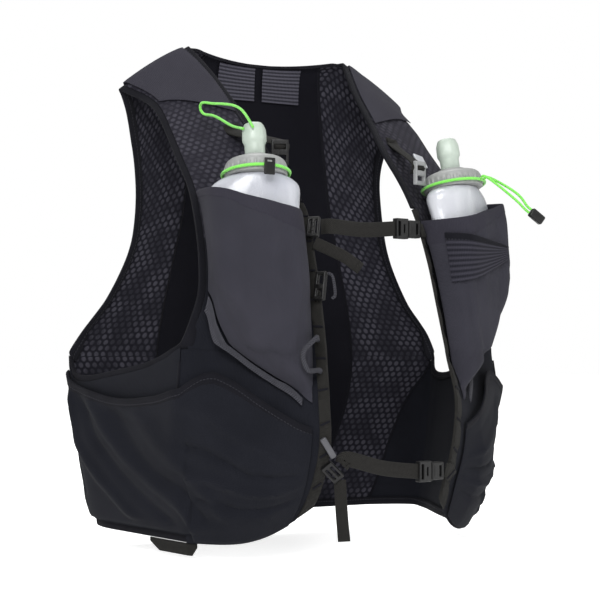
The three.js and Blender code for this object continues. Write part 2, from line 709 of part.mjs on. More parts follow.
function neckRing() {
  const radius = capRadius + neckCord / 2 + gap;
  const points = Array.from({ length: 16 }, (_, k) => {
    const a = (2 * Math.PI * k) / 16;
    return vec(radius * Math.cos(a), radius * Math.sin(a), capFoot + 3).applyMatrix4(onFlask);
  });
  return tube(new THREE.CatmullRomCurve3(points, true), neckCord, 16, 6);
}

addPair('flask_body', flaskBody(), 'bottle');
addPair('flask_cap', cap(), 'cap');
addPair('bite_valve', valve(), 'valve');
addPair('flask_ring', neckRing(), 'cord');

// Cords, from the photographed arcs

const loopPath = [
  [-0.532, -0.672, 0.660], [-0.535, -0.541, 0.725], [-0.555, -0.405, 0.747], [-0.578, -0.257, 0.757],
  [-0.589, -0.169, 0.751], [-0.566, -0.230, 0.732], [-0.557, -0.351, 0.706], [-0.549, -0.473, 0.675],
  [-0.557, -0.622, 0.657],
].map((p) => place(...p));
add('cord_loop', tube(curve(loopPath), cordDiameter, 32, 6), 'cord');

// A block with its long side along a direction, its height up, centred on a point.
function block(at, forward, length, height, depth) {
  const ahead = forward.clone().normalize();
  const up = vec(0, 0, 1).addScaledVector(ahead, -ahead.z).normalize();
  const turn = new THREE.Matrix4().makeBasis(ahead, up, ahead.clone().cross(up)).setPosition(at);
  return new THREE.BoxGeometry(length, height, depth).applyMatrix4(turn);
}

const cordEnd = place(0.796, -0.940, 0.424);
const cordEndAxis = vec(1, -0.2, -0.75).normalize();
const cordEndLength = 14;
add('cord_end', block(cordEnd, cordEndAxis, cordEndLength, 8, 6), 'buckle');

// A point beside the flask's neck ring, at an angle round the flask.
function beside(angle, clear, height = 3) {
  const radius = capRadius + gap + neckCord + clear;
  const a = THREE.MathUtils.degToRad(angle);
  return vec(radius * Math.cos(a), radius * Math.sin(a), capFoot + height).applyMatrix4(onFlask);
}

for (const [k, angle, offset] of [[1, -80, 1.7], [2, -90, -1.7]]) {
  const upward = vec(0, 0, 1).addScaledVector(cordEndAxis, -cordEndAxis.z).setLength(offset);
  const last = cordEnd.clone().addScaledVector(cordEndAxis, -cordEndLength / 2 - 1.5 * gap).add(upward);
  const middle = beside(angle, gap).lerp(last, 0.55).add(vec(2, -7, offset));
  const path = curve([beside(angle, gap), beside(angle, 6), middle, last.clone().addScaledVector(cordEndAxis, -5), last]);
  add(`flask_cord_${k}`, tube(path, cordDiameter, 12, 6), 'cord');
}

// Chest straps

const onWebbing = webbingThick + cloth / 2 + gap;
const adjusterAt = -0.025;    // the share across the panel where the fittings on the webbing sit
const flip = (p) => vec(-p.x, p.y, p.z);

const chestStraps = [
  { name: 'upper', right: 1.287, left: 1.294, clear: 4 * gap, tail: [[-0.165, 0.280, -5], [-0.085, 0.245, -6]], lean: [-0.6, 0.8], under: 4.3, nudge: [1.6, -1] },
  { name: 'lower', right: 0.225, left: 0.215, clear: 11 * gap, tail: [[-0.247, -0.820, 0], [-0.235, -0.965, 0]], lean: [-1, 0.1], under: 0.6, nudge: [0, 0] },
];
for (const { name, right, left, clear, tail, lean, under, nudge } of chestStraps) {
  const anchor = [0.045, 0.02, -0.01].map((u) => onFront(u, left, onWebbing + strapThick / 2));
  const inward = vec(-1, -0.16, 0).normalize();
  anchor.push(anchor[2].clone().addScaledVector(inward, 4));
  add(`strap_anchor_${name}`, strap(anchor, strapWidth, strapThick, frontFrame(0.02, left).up), 'webbing');
  const socket = anchor[3].clone().addScaledVector(inward, clear + 6.25);
  const tongue = socket.clone().addScaledVector(inward, 12.75 + gap);
  add(`buckle_socket_${name}`, block(socket, inward, 12.5, buckleWidth * 0.85, buckleThick * 1.15), 'buckle');
  add(`buckle_tongue_${name}`, block(tongue, inward, 13, buckleWidth, buckleThick), 'buckle');
  const adjusterThick = buckleThick * 0.7;
  addRight(`strap_adjuster_${name}`, blockOnFront(adjusterAt, right, onWebbing, 10, buckleWidth, adjusterThick), 'buckle');
  const { across, up } = frontFrame(adjusterAt, right);
  const seat = onFront(adjusterAt, right, onWebbing + adjusterThick / 2);
  const start = tongue.clone().addScaledVector(inward, 6.5 + gap);
  const end = flip(seat.clone().addScaledVector(across, -5 - clear));
  const before = flip(seat.clone().addScaledVector(across, -16));
  const sag = start.clone().lerp(before, 0.5).add(vec(0, 0, -2));
  const webPoints = curve([start, sag, before, end]).getPoints(7);
  add(`chest_strap_${name}`, strap(webPoints, strapWidth, strapThick), 'webbing');
  const hang = flip(seat.clone().addScaledVector(up, -buckleWidth / 2 - gap - under)).add(vec(...nudge, 0));
  const tailPoints = tail.map(([x, level, ahead]) => place(x, 0, level).setY(hang.y + ahead));
  const slant = flip(across.clone().multiplyScalar(lean[0]).addScaledVector(up, lean[1]));
  add(`strap_tail_${name}`, strap([hang, ...tailPoints], strapWidth * 0.8, strapThick, slant), 'webbing');
}

// Small fittings: the strap retainers above the flasks and what hangs on the right front edge

const retainers = [
  { side: 'left', at: [0.320, -0.649, 0.558], root: [0.22, 1.62] },
  { side: 'right', at: [0.372, -0.600, 0.596], root: [0.26, 1.63] },
];
for (const { side, at, root: [u, v] } of retainers) {
  const foot = place(...at);
  const behind = foot.clone().addScaledVector(vec(-0.34, 0.94, 0), 1.75 + gap + strapThick / 2);
  const height = cloth + 1.8 * gap + strapThick / 2;
  const web = [onFront(u, v, height), onFront(u, v - 0.03, height + 0.5), behind.clone().add(vec(0, 0, 8)), behind];
  const addTo = side === 'left' ? add : addRight;
  addTo(`retainer_web_${side}`, strap(web, 13, strapThick, vec(0.94, 0.34, 0)), 'webbing');
  addTo(`retainer_buckle_${side}`, block(foot, vec(0.94, 0.34, 0), 14, 20, 3.5), 'buckle');
}
add('reflective_tab', blockOnFront(0.55, 1.57, cloth + gap, 11, 15, 2), 'reflective');
addRight('flask_pull_tab', block(beside(-103, gap + 0.4, 1), beside(-93, 0).sub(beside(-113, 0)), 13, 13, 2.5), 'buckle');

const poleLoop = [
  onFront(0.05, 1.02, onWebbing), onFront(0.05, 1.02, onWebbing + 4), place(0.388, -1.018, 0.034),
  place(0.452, -1.026, -0.013), place(0.431, -1.026, -0.097), onFront(0.05, 0.86, onWebbing + 4),
  onFront(0.05, 0.86, onWebbing),
];
addRight('pole_loop', tube(curve(poleLoop), 4, 18, 6), 'elastic');
addRight('accessory_clip', blockOnFront(adjusterAt, 1.145, onWebbing, 9, 23, 4.5), 'buckle');
const clipLoop = [[-0.101, 1.175, 5.5], [-0.130, 1.165, 6], [-0.130, 1.125, 6], [-0.101, 1.115, 5.5]];
addRight('clip_loop', tube(curve(clipLoop.map((p) => onFront(...p))), 2.4, 12, 6), 'elastic');
addRight('edge_toggle', blockOnFront(0.02, 0.41, onWebbing, 5, 18, 3.5), 'reflective');

// The reflective tab under the right hem
const hemTab = grid(3, 6, (i, j) => {
  const q = mix(0.90, 1.20, j);
  const ends = Math.min(1, 4 * Math.min(j + 0.08, 1.08 - j));
  const top = q < 1 ? hemAt(q) : mix(-drop, -backHem, q - 1);
  return lowerPoint(q, -drop).setZ(top - gap - i * 10 * ends);
});
addRight('hem_tab', wall(hemTab, 0, 1.6), 'webbing');

// The ribbed windows inside the back of the neck
const windowGrid = grid(3, 4, (i, j) => {
  const v = mix(1.74, 1.93, i);
  const x = mix(4, 4 + windowWidth, j);
  return backPoint(x / backPoint(1, v).x, v);
});
addPair('neck_window', wall(windowGrid, 3 * gap, 3 * gap + 0.9), 'mesh');

// The ribbed stash pocket on the left flask pocket
const stash = grid(4, 8, (i, j) => {
  const s = mix(0.05, 0.76, j);
  const low = mix(1.165, 1.235, j ** 1.2);
  const high = mix(1.290, 1.265, j);
  return pocketPoint(s, mix(low, high, i));
});
add('stash_pocket', wall(raised(stash, () => skin + 4 * gap), 0, 1), 'mesh');

// The part's origin lies midway between the two shoulder seats, under the straps' crests.
vest.position.copy(place(0, 0.716, 0.921)).negate();
vest.updateMatrixWorld(true);
export default vest;
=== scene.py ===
# Running hydration vest, as worn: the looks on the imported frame. Lengths in the tables are in
# millimetres on the same body form as the part's source; the last step turns them into metres.
import math

import bmesh
import bpy
from mathutils import Matrix, Vector


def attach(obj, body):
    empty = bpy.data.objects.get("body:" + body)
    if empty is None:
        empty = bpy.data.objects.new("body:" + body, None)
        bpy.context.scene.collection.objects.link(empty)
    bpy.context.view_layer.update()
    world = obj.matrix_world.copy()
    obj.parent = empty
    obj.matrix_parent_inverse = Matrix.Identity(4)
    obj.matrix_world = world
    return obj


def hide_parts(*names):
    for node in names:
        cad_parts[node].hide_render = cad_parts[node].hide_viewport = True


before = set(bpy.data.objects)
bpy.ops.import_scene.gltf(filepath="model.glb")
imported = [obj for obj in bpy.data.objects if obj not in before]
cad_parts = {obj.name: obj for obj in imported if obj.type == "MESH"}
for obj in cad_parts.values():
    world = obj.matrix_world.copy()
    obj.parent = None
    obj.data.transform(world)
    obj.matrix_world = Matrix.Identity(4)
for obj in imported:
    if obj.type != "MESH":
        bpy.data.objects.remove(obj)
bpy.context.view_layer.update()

# Named sizes, the same as in the part's source
HALF_WIDTH, FRONT_REACH, BACK_REACH, RISE, DROP = 188, 148, 81, 265, 154
BACK_HEM, HEM_CORNER, NECK_DIP, CREST_LIFT, CORNER_ROUND = 146, 31, 7, 3, 15
CLOTH, SKIN, GAP = 1.8, 1.3, 0.4
BINDING_WIDTH, WEBBING_WIDTH, WEBBING_THICK = 7, 9, 2
WINDOW_WIDTH, ELASTIC_WIDTH = 38, 7
FLASK_HALF_WIDTH, FLASK_HALF_DEPTH, FLASK_LENGTH = 36, 16.5, 172
CAP_RADIUS, CAP_HEIGHT = 25, 17
NECK_CORD, CORD_DIAMETER, STRAP_WIDTH, STRAP_THICK = 2.6, 2.2, 12, 1.6
BUCKLE_WIDTH, BUCKLE_THICK = 17, 6
ORIGIN = Vector((0, 0.716 * BACK_REACH, 0.921 * RISE))
UP = Vector((0, 0, 1))


def metres(p):
    return (Vector(p) - ORIGIN) * 0.001


def put(name, data):
    """A new object in the scene."""
    obj = bpy.data.objects.new(name, data)
    bpy.context.scene.collection.objects.link(obj)
    return obj


# Camera at the photograph's angle, level with the chest line

camera_data = bpy.data.cameras.new("camera")
camera = put("camera", camera_data)
bpy.context.scene.camera = camera
camera_data.sensor_width = 36
camera_data.lens = 92.94
camera_data.shift_y = 0.0833
camera.location = metres((-675.0, -1169.1, 0))
camera.rotation_euler = Vector((0.5, 0.866, 0)).to_track_quat("-Z", "Y").to_euler()


# Numbers and points

def mix(a, b, t):
    return a + (b - a) * t


def clamp(v, low, high):
    return min(high, max(low, v))


def smooth(v, low, high):
    s = clamp((v - low) / (high - low), 0, 1)
    return s * s * (3 - 2 * s)


def place(x, y, z):
    return Vector((x * HALF_WIDTH, y * (FRONT_REACH if y < 0 else BACK_REACH), z * (DROP if z < 0 else RISE)))


def square(v, ahead):
    """The direction of v, turned square to ahead."""
    return (v - ahead * v.dot(ahead)).normalized()


def running(line):
    """The length along a line up to each of its points."""
    run = [0.0]
    for a, b in zip(line, line[1:]):
        run.append(run[-1] + (b - a).length)
    return run


def angles(count):
    return [2 * math.pi * k / count for k in range(count)]


def flip(p):
    return Vector((-p[0], p[1], p[2]))


class Curve:
    """A smooth curve through points, with the same step between all points."""

    def __init__(self, points, closed=False):
        self.points = [Vector(p) for p in points]
        self.closed = closed

    def at(self, t):
        pts, n = self.points, len(self.points)
        s = (n if self.closed else n - 1) * t
        i = int(math.floor(s))
        w = s - i
        if self.closed:
            i %= n
            a, b, c, d = pts[(i - 1) % n], pts[i % n], pts[(i + 1) % n], pts[(i + 2) % n]
        else:
            if i >= n - 1:
                i, w = n - 2, s - (n - 2)
            a = pts[i - 1] if i > 0 else pts[0] * 2 - pts[1]
            b, c = pts[i], pts[i + 1]
            d = pts[i + 2] if i + 2 < n else pts[-1] * 2 - pts[-2]
        t0, t1 = (c - a) * 0.5, (d - b) * 0.5
        return b + t0 * w + (b * -3 + c * 3 - t0 * 2 - t1) * w ** 2 + (b * 2 - c * 2 + t0 + t1) * w ** 3

    def line(self, count):
        return [self.at(i / count) for i in range(count + (0 if self.closed else 1))]


def column(values, t):
    last = len(values) - 1
    s = clamp(t, 0, 1) * last
    i = min(int(s), last - 1)
    f = s - i
    a, b, c, d = [values[clamp(i + k, 0, last)] for k in (-1, 0, 1, 2)]
    return b + 0.5 * f * (c - a + f * (2 * a - 5 * b + 4 * c - d + f * (3 * (b - c) + d - a)))


def along(keys, values, v):
    i = 0
    while i < len(keys) - 2 and keys[i + 1] < v:
        i += 1
    return mix(values[i], values[i + 1], clamp((v - keys[i]) / (keys[i + 1] - keys[i]), 0, 1))


# Tables of the body form, evenly spaced from the chest line down and up
LOWER = {
    "edgeX": [0.296, 0.312, 0.303, 0.309, 0.362],
    "edgeY": [-0.936, -0.997, -0.983, -0.865, -0.703],
    "seamX": [0.798, 0.814, 0.782, 0.745, 0.713],
    "seamY": [-0.50, -0.51, -0.432, -0.392, -0.351],
    "cornerX": [1.015, 0.990, 0.960, 0.928, 0.896],
    "cornerY": [0.86, 0.86, 0.85, 0.83, 0.79],
    "centre": [1.00, 0.98, 0.96, 0.92, 0.88],
    "bulge": [-0.055, 0.01, 0.06, 0.07, 0.05],
}
SLANT = [0.5, 0.62, 0.67, 0.70, 0.735]
UPPER = {
    "edgeX": [0.296, 0.287, 0.282, 0.272, 0.298, 0.310, 0.335, 0.359, 0.388, 0.415],
    "edgeY": [-0.936, -0.865, -0.784, -0.681, -0.486, -0.270, -0.068, 0.265, 0.519, 0.723],
    "edgeZ": [0.000, 0.143, 0.279, 0.415, 0.528, 0.642, 0.755, 0.868, 0.943, 1.000],
    "armX": [0.798, 0.763, 0.745, 0.729, 0.713, 0.711, 0.702, 0.700, 0.715, 0.777],
    "armY": [-0.500, -0.608, -0.581, -0.473, -0.351, -0.216, -0.054, 0.173, 0.440, 0.704],
    "armZ": [0.026, 0.151, 0.272, 0.408, 0.498, 0.581, 0.672, 0.755, 0.802, 0.842],
    "bulge": [-0.055, -0.085, -0.080, -0.045, 0.000, 0.015, 0.020, 0.018, 0.010, 0.000],
}
ARM_BACK = [
    (0.936, 0.778, 0.068), (0.840, 0.784, 0.151), (0.777, 0.784, 0.226), (0.726, 0.784, 0.302),
    (0.694, 0.790, 0.377), (0.674, 0.815, 0.491), (0.674, 0.852, 0.604), (0.697, 0.833, 0.694),
    (0.729, 0.778, 0.774), (0.777, 0.704, 0.842),
]
FOOT = [0.026, -0.060, -0.105, -0.138, -0.110, 0.0]
SPINE = [1.0, 1.0, 0.99, 0.97, 0.93]
MIDDLE = [0.31, 0.40, 0.505, 0.535, 0.46, 0.36, 0.31]


# The body form

def bowed(a, b, u, bulge):
    out = Vector((b.y - a.y, a.x - b.x, 0)).normalized()
    return a.lerp(b, u) + out * (bulge * 4 * u * (1 - u))


RINGS = {}


def ring_curve(z):
    key = round(z, 3)
    if key not in RINGS:
        t = clamp(-z / DROP, 0, 1)
        seam = place(column(LOWER["seamX"], t), column(LOWER["seamY"], t), 0)
        corner = place(column(LOWER["cornerX"], t), column(LOWER["cornerY"], t), 0)
        centre = place(0, column(LOWER["centre"], t), 0)
        back = corner.lerp(centre, 0.5)
        back.y = mix(corner.y, centre.y, 0.72)
        before = corner + (seam - corner).normalized() * CORNER_ROUND
        after = corner + (back - corner).normalized() * CORNER_ROUND
        RINGS[key] = Curve([seam, seam.lerp(corner, 0.5), before, after, back, centre])
    return RINGS[key]


def ring_point(z, q):
    p = ring_curve(z).at(q)
    p.z = z
    return p


def slant_at(z):
    return column(SLANT, clamp(-z / DROP, 0, 1))


def hem_at(u):
    return -DROP + HEM_CORNER * max(0.0, 1 - u) ** 5


def side_of_front(u, z):
    t = clamp(-z / DROP, 0, 1)
    edge = place(column(LOWER["edgeX"], t), column(LOWER["edgeY"], t), 0)
    seam = place(column(LOWER["seamX"], t), column(LOWER["seamY"], t), 0)
    p = bowed(edge, seam, u, column(LOWER["bulge"], t) * HALF_WIDTH)
    p.z = z
    return p


EDGE = Curve([place(*r) for r in zip(UPPER["edgeX"], UPPER["edgeY"], UPPER["edgeZ"])])
ARM = Curve([place(*r) for r in zip(UPPER["armX"], UPPER["armY"], UPPER["armZ"])])


def front_point(u, v):
    if v <= 1:
        return side_of_front(u, mix(hem_at(u), mix(0, FOOT[0] * RISE, u), v))
    t = v - 1
    p = bowed(EDGE.at(t), ARM.at(t), u, column(UPPER["bulge"], t) * HALF_WIDTH)
    p.z += CREST_LIFT * smooth(t, 0.6, 1) * 4 * u * (1 - u)
    return p


def lower_point(q, z):
    return ring_point(z, (q - 1) * slant_at(z)) if q > 1 else side_of_front(q, z)


def side_point(t, w):
    share = column(FOOT, t)
    z = mix(mix(-DROP, -BACK_HEM, t), share * (DROP if share < 0 else RISE), w)
    return ring_point(z, mix(0, slant_at(z), t))


ARM_BACK_CURVE = Curve([ring_point(0, SLANT[0])] + [place(*r) for r in ARM_BACK])
NECK_SHARE = UPPER["edgeX"][-1] / UPPER["armX"][-1]


def back_point(u, v):
    neck = place(0, SPINE[-1], 1)
    neck.z -= NECK_DIP
    if v <= 1:
        z = mix(-BACK_HEM, 0, v)
        outer, centre = ring_point(z, slant_at(z)), ring_point(z, 1)
        return Vector((u * outer.x, mix(centre.y, outer.y, u ** 2.4), z))
    t = v - 1
    outer = ARM_BACK_CURVE.at(t)
    centre = place(0, column(SPINE, t), t)
    centre.z *= neck.z / RISE
    share = (u - NECK_SHARE) / (1 - NECK_SHARE)
    bend = mix(u ** 2.4, min(1, u / NECK_SHARE) ** 2, smooth(t, 0.7, 1))
    p = Vector((u * outer.x, mix(centre.y, outer.y, bend), mix(centre.z, outer.z, u ** 1.6)))
    if u < NECK_SHARE:
        line = neck.z + NECK_DIP * (u / NECK_SHARE) ** 2
    else:
        line = mix(RISE, outer.z, share) + CREST_LIFT * 4 * share * (1 - share)
    p.z = mix(p.z, line, smooth(t, 0.45, 1))
    return p


# Mesh making

def grid_normals(rows, closed=False):
    n, m = len(rows), len(rows[0])
    found = []
    for i in range(n):
        before = (i - 1) % n if closed else max(i - 1, 0)
        after = (i + 1) % n if closed else min(i + 1, n - 1)
        line = []
        for j in range(m):
            down = rows[after][j] - rows[before][j]
            across = rows[i][min(j + 1, m - 1)] - rows[i][max(j - 1, 0)]
            line.append(across.cross(down).normalized())
        found.append(line)
    return found


def raised(rows, height_at):
    normals = grid_normals(rows)
    n, m = len(rows) - 1, len(rows[0]) - 1
    return [[p + normals[i][j] * height_at(i / n, j / m) for j, p in enumerate(row)]
            for i, row in enumerate(rows)]


def lengths_across(rows):
    """For each point, its length along the row from the row's middle, and up the middle column."""
    middle = len(rows[0]) // 2
    up = running([row[middle] for row in rows])
    runs = [running(row) for row in rows]
    return [[((at - run[middle]) * 0.001, up[i] * 0.001) for at in run] for i, run in enumerate(runs)]


def area_of(rows):
    total = 0.0
    for i in range(len(rows) - 1):
        for j in range(len(rows[0]) - 1):
            a, b, c, d = rows[i][j], rows[i][j + 1], rows[i + 1][j + 1], rows[i + 1][j]
            total += (b - a).cross(c - a).length / 2 + (c - a).cross(d - a).length / 2
    return total * 1e-6


def size_of(rows):
    """The largest width along a row and the largest length along a column, in metres."""
    return [max(running(line)[-1] for line in lines) * 0.001 for lines in (rows, list(zip(*rows)))]


def build(name, points, faces, uvs, material, smooth_angle):
    """One mesh object from points in millimetres; uvs has one pair for each point."""
    mesh = bpy.data.meshes.new(name)
    mesh.from_pydata([metres(p) for p in points], [], faces)
    volume = 0.0
    co = [v.co for v in mesh.vertices]
    for poly in mesh.polygons:
        vs = poly.vertices
        for k in range(1, len(vs) - 1):
            volume += co[vs[0]].dot(co[vs[k]].cross(co[vs[k + 1]]))
    if volume < 0:
        mesh.flip_normals()
    layer = mesh.uv_layers.new(name="UVMap")
    for loop in mesh.loops:
        layer.data[loop.index].uv = uvs[loop.vertex_index]
    return shaded(name, mesh, material, smooth_angle)


def shaded(name, mesh, material, smooth_angle):
    mesh.shade_smooth()
    mesh.set_sharp_from_angle(angle=math.radians(smooth_angle))
    mesh.materials.append(material)
    return put(name, mesh)


def copy_sizes(source, target):
    for key in ("flat_area", "flat_size"):
        if key in source:
            target[key] = source[key]


RIM_SHARE = 0.45        # thickness left at a wall's rim


def wall(name, rows, low, high, material):
    """A cloth wall on a grid: low and high are heights above it. Its rim is half round."""
    normals = grid_normals(rows)
    lengths = lengths_across(rows)
    n, m = len(rows), len(rows[0])
    points, uvs = [], []
    middle, half = (low + high) / 2, (high - low) / 2
    for side in (-1, 1):
        for i in range(n):
            for j in range(m):
                k = RIM_SHARE if i in (0, n - 1) or j in (0, m - 1) else 1.0
                points.append(rows[i][j] + normals[i][j] * (middle + side * half * k))
                uvs.append(lengths[i][j])
    faces = []

    def at(side, i, j):
        return side * n * m + i * m + j

    for i in range(n - 1):
        for j in range(m - 1):
            faces.append((at(0, i, j), at(0, i, j + 1), at(0, i + 1, j + 1), at(0, i + 1, j)))
            faces.append((at(1, i, j), at(1, i + 1, j), at(1, i + 1, j + 1), at(1, i, j + 1)))
        faces.append((at(0, i + 1, 0), at(1, i + 1, 0), at(1, i, 0), at(0, i, 0)))
        faces.append((at(0, i, m - 1), at(1, i, m - 1), at(1, i + 1, m - 1), at(0, i + 1, m - 1)))
    for j in range(m - 1):
        faces.append((at(0, 0, j), at(1, 0, j), at(1, 0, j + 1), at(0, 0, j + 1)))
        faces.append((at(0, n - 1, j + 1), at(1, n - 1, j + 1), at(1, n - 1, j), at(0, n - 1, j)))
    obj = build(name, points, faces, uvs, material, 60)
    obj["flat_area"] = area_of(rows)
    obj["flat_size"] = size_of(rows)
    return obj


def sweep(name, stations, material, closed=False, smooth_angle=50):
    """A solid through sections with the same number of points. uv: along the sweep, round it."""
    n, m = len(stations), len(stations[0])
    points = [p for s in stations for p in s]
    run = running([sum(s, Vector()) / m for s in stations])
    uvs = []
    for i, s in enumerate(stations):
        arc = 0.0
        for j in range(m):
            uvs.append((run[i] * 0.001, arc))
            arc += (s[(j + 1) % m] - s[j]).length * 0.001
    faces = []
    for i in range(n if closed else n - 1):
        a, b = i * m, ((i + 1) % n) * m
        for j in range(m):
            k = (j + 1) % m
            faces.append((a + j, a + k, b + k, b + j))
    if not closed:
        faces.append(tuple(range(m))[::-1])
        faces.append(tuple(range((n - 1) * m, n * m)))
    return build(name, points, faces, uvs, material, smooth_angle)


def mirrored(obj, name):
    """The same piece on the other side."""
    mesh = obj.data.copy()
    mesh.transform(Matrix.Scale(-1, 4, (1, 0, 0)))
    mesh.flip_normals()
    mesh.name = name
    other = put(name, mesh)
    copy_sizes(obj, other)
    return other


def frames_along(line, up, closed=False):
    """Each point of a line with an across and an out vector, turned steadily."""
    found = []
    last = Vector(up)
    n = len(line)
    for i, p in enumerate(line):
        after = (i + 1) % n if closed else min(i + 1, n - 1)
        before = (i - 1) % n if closed else max(i - 1, 0)
        ahead = (line[after] - line[before]).normalized()
        last = square(last, ahead)
        found.append((p, last.copy(), ahead.cross(last)))
    return found


def tape(name, line, up, width, thick, material, lump=None):
    """Flat webbing along a line, its width along up, with soft rolled edges."""
    stations = []
    frames = frames_along(line, up)
    for i, (p, across, out) in enumerate(frames):
        w, t = width / 2, thick / 2
        if lump:
            t *= lump(i / (len(frames) - 1))
        r = min(t * 0.9, 0.6)
        shape = [(-w, -t + r), (-w + r, -t), (0, -t * 1.04), (w - r, -t), (w, -t + r),
                 (w, t - r), (w - r, t), (0, t * 1.04), (-w + r, t), (-w, t - r)]
        stations.append([p + across * a + out * b for a, b in shape])
    return sweep(name, stations, material)


def rope(name, line, diameter, material, sides=14, closed=False):
    stations = [[p + (across * math.cos(a) + out * math.sin(a)) * diameter / 2 for a in angles(sides)]
                for p, across, out in frames_along(line, (0.1, 0.2, 1), closed)]
    return sweep(name, stations, material, closed=closed)


def rounded_box(name, at, axes, size, material, bevel=1.2, holes=(), segments=3):
    """A block with rounded edges and through slots: holes are (x, y, width, height) on its face."""
    length, height, depth = size
    xs = sorted({-length / 2, length / 2} | {s for x, _, w, _ in holes for s in (x - w / 2, x + w / 2)})
    ys = sorted({-height / 2, height / 2} | {s for _, y, _, h in holes for s in (y - h / 2, y + h / 2)})
    bm = bmesh.new()
    top = [[bm.verts.new((x, y, depth / 2)) for x in xs] for y in ys]
    low = [[bm.verts.new((x, y, -depth / 2)) for x in xs] for y in ys]
    filled = {}
    for b in range(len(ys) - 1):
        for a in range(len(xs) - 1):
            cx, cy = (xs[a] + xs[a + 1]) / 2, (ys[b] + ys[b + 1]) / 2
            filled[a, b] = not any(abs(cx - x) < w / 2 and abs(cy - y) < h / 2 for x, y, w, h in holes)
    for (a, b), solid in filled.items():
        if not solid:
            continue
        bm.faces.new((top[b][a], top[b][a + 1], top[b + 1][a + 1], top[b + 1][a]))
        bm.faces.new((low[b][a], low[b + 1][a], low[b + 1][a + 1], low[b][a + 1]))
        for da, db, u, v in ((-1, 0, (b + 1, a), (b, a)), (1, 0, (b, a + 1), (b + 1, a + 1)),
                             (0, -1, (b, a), (b, a + 1)), (0, 1, (b + 1, a + 1), (b + 1, a))):
            if not filled.get((a + da, b + db), False):
                bm.faces.new((low[u[0]][u[1]], low[v[0]][v[1]], top[v[0]][v[1]], top[u[0]][u[1]]))
    bmesh.ops.delete(bm, geom=[v for v in bm.verts if not v.link_faces], context="VERTS")
    bmesh.ops.recalc_face_normals(bm, faces=bm.faces)
    sharp = [e for e in bm.edges if len(e.link_faces) == 2 and e.calc_face_angle(0) > 0.5]
    bmesh.ops.bevel(bm, geom=sharp, offset=bevel, segments=segments, profile=0.6, affect="EDGES",
                    clamp_overlap=True)
    turn = Matrix([Vector(v).normalized() for v in axes]).transposed()
    mesh = bpy.data.meshes.new(name)
    uv = bm.loops.layers.uv.new("UVMap")
    for face in bm.faces:
        for loop in face.loops:
            loop[uv].uv = (loop.vert.co.x * 0.001, loop.vert.co.y * 0.001)
    bmesh.ops.transform(bm, matrix=turn.to_4x4(), verts=bm.verts)
    for v in bm.verts:
        v.co = metres(v.co + Vector(at))
    bm.to_mesh(mesh)
    bm.free()
    return shaded(name, mesh, material, 40)


def join(name, *parts):
    """Several meshes as one piece with all their materials."""
    mesh = bpy.data.meshes.new(name)
    bm = bmesh.new()
    materials = []
    for part in parts:
        slots = []
        for m in part.data.materials:
            if m not in materials:
                materials.append(m)
            slots.append(materials.index(m))
        start = len(bm.faces)
        bm.from_mesh(part.data)
        bm.faces.ensure_lookup_table()
        for face in bm.faces[start:]:
            face.material_index = slots[face.material_index] if slots else 0
    bm.to_mesh(mesh)
    bm.free()
    for m in materials:
        mesh.materials.append(m)
    obj = put(name, mesh)
    copy_sizes(parts[0], obj)
    for part in parts:
        old = part.data
        bpy.data.objects.remove(part)
        bpy.data.meshes.remove(old)
    return obj


def keep(obj, slot, *nodes):
    """The piece rides on the one body and stands for CAD nodes. The slot is not used."""
    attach(obj, "root")
    if nodes:
        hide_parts(*nodes)
    return obj


def keep_as(node, slot, *parts):
    """Several meshes kept as one piece that stands for a node."""
    return keep(join(f"{node}_look", *parts), slot, node)


def keep_right(obj, slot, node):
    """A piece drawn on the wearer's left, kept on the right alone."""
    right = mirrored(obj, f"{node}_look")
    bpy.data.objects.remove(obj)
    return keep(right, slot, node)


def keep_sheet(obj, slot, node):
    keep(obj, slot, node)


# Materials

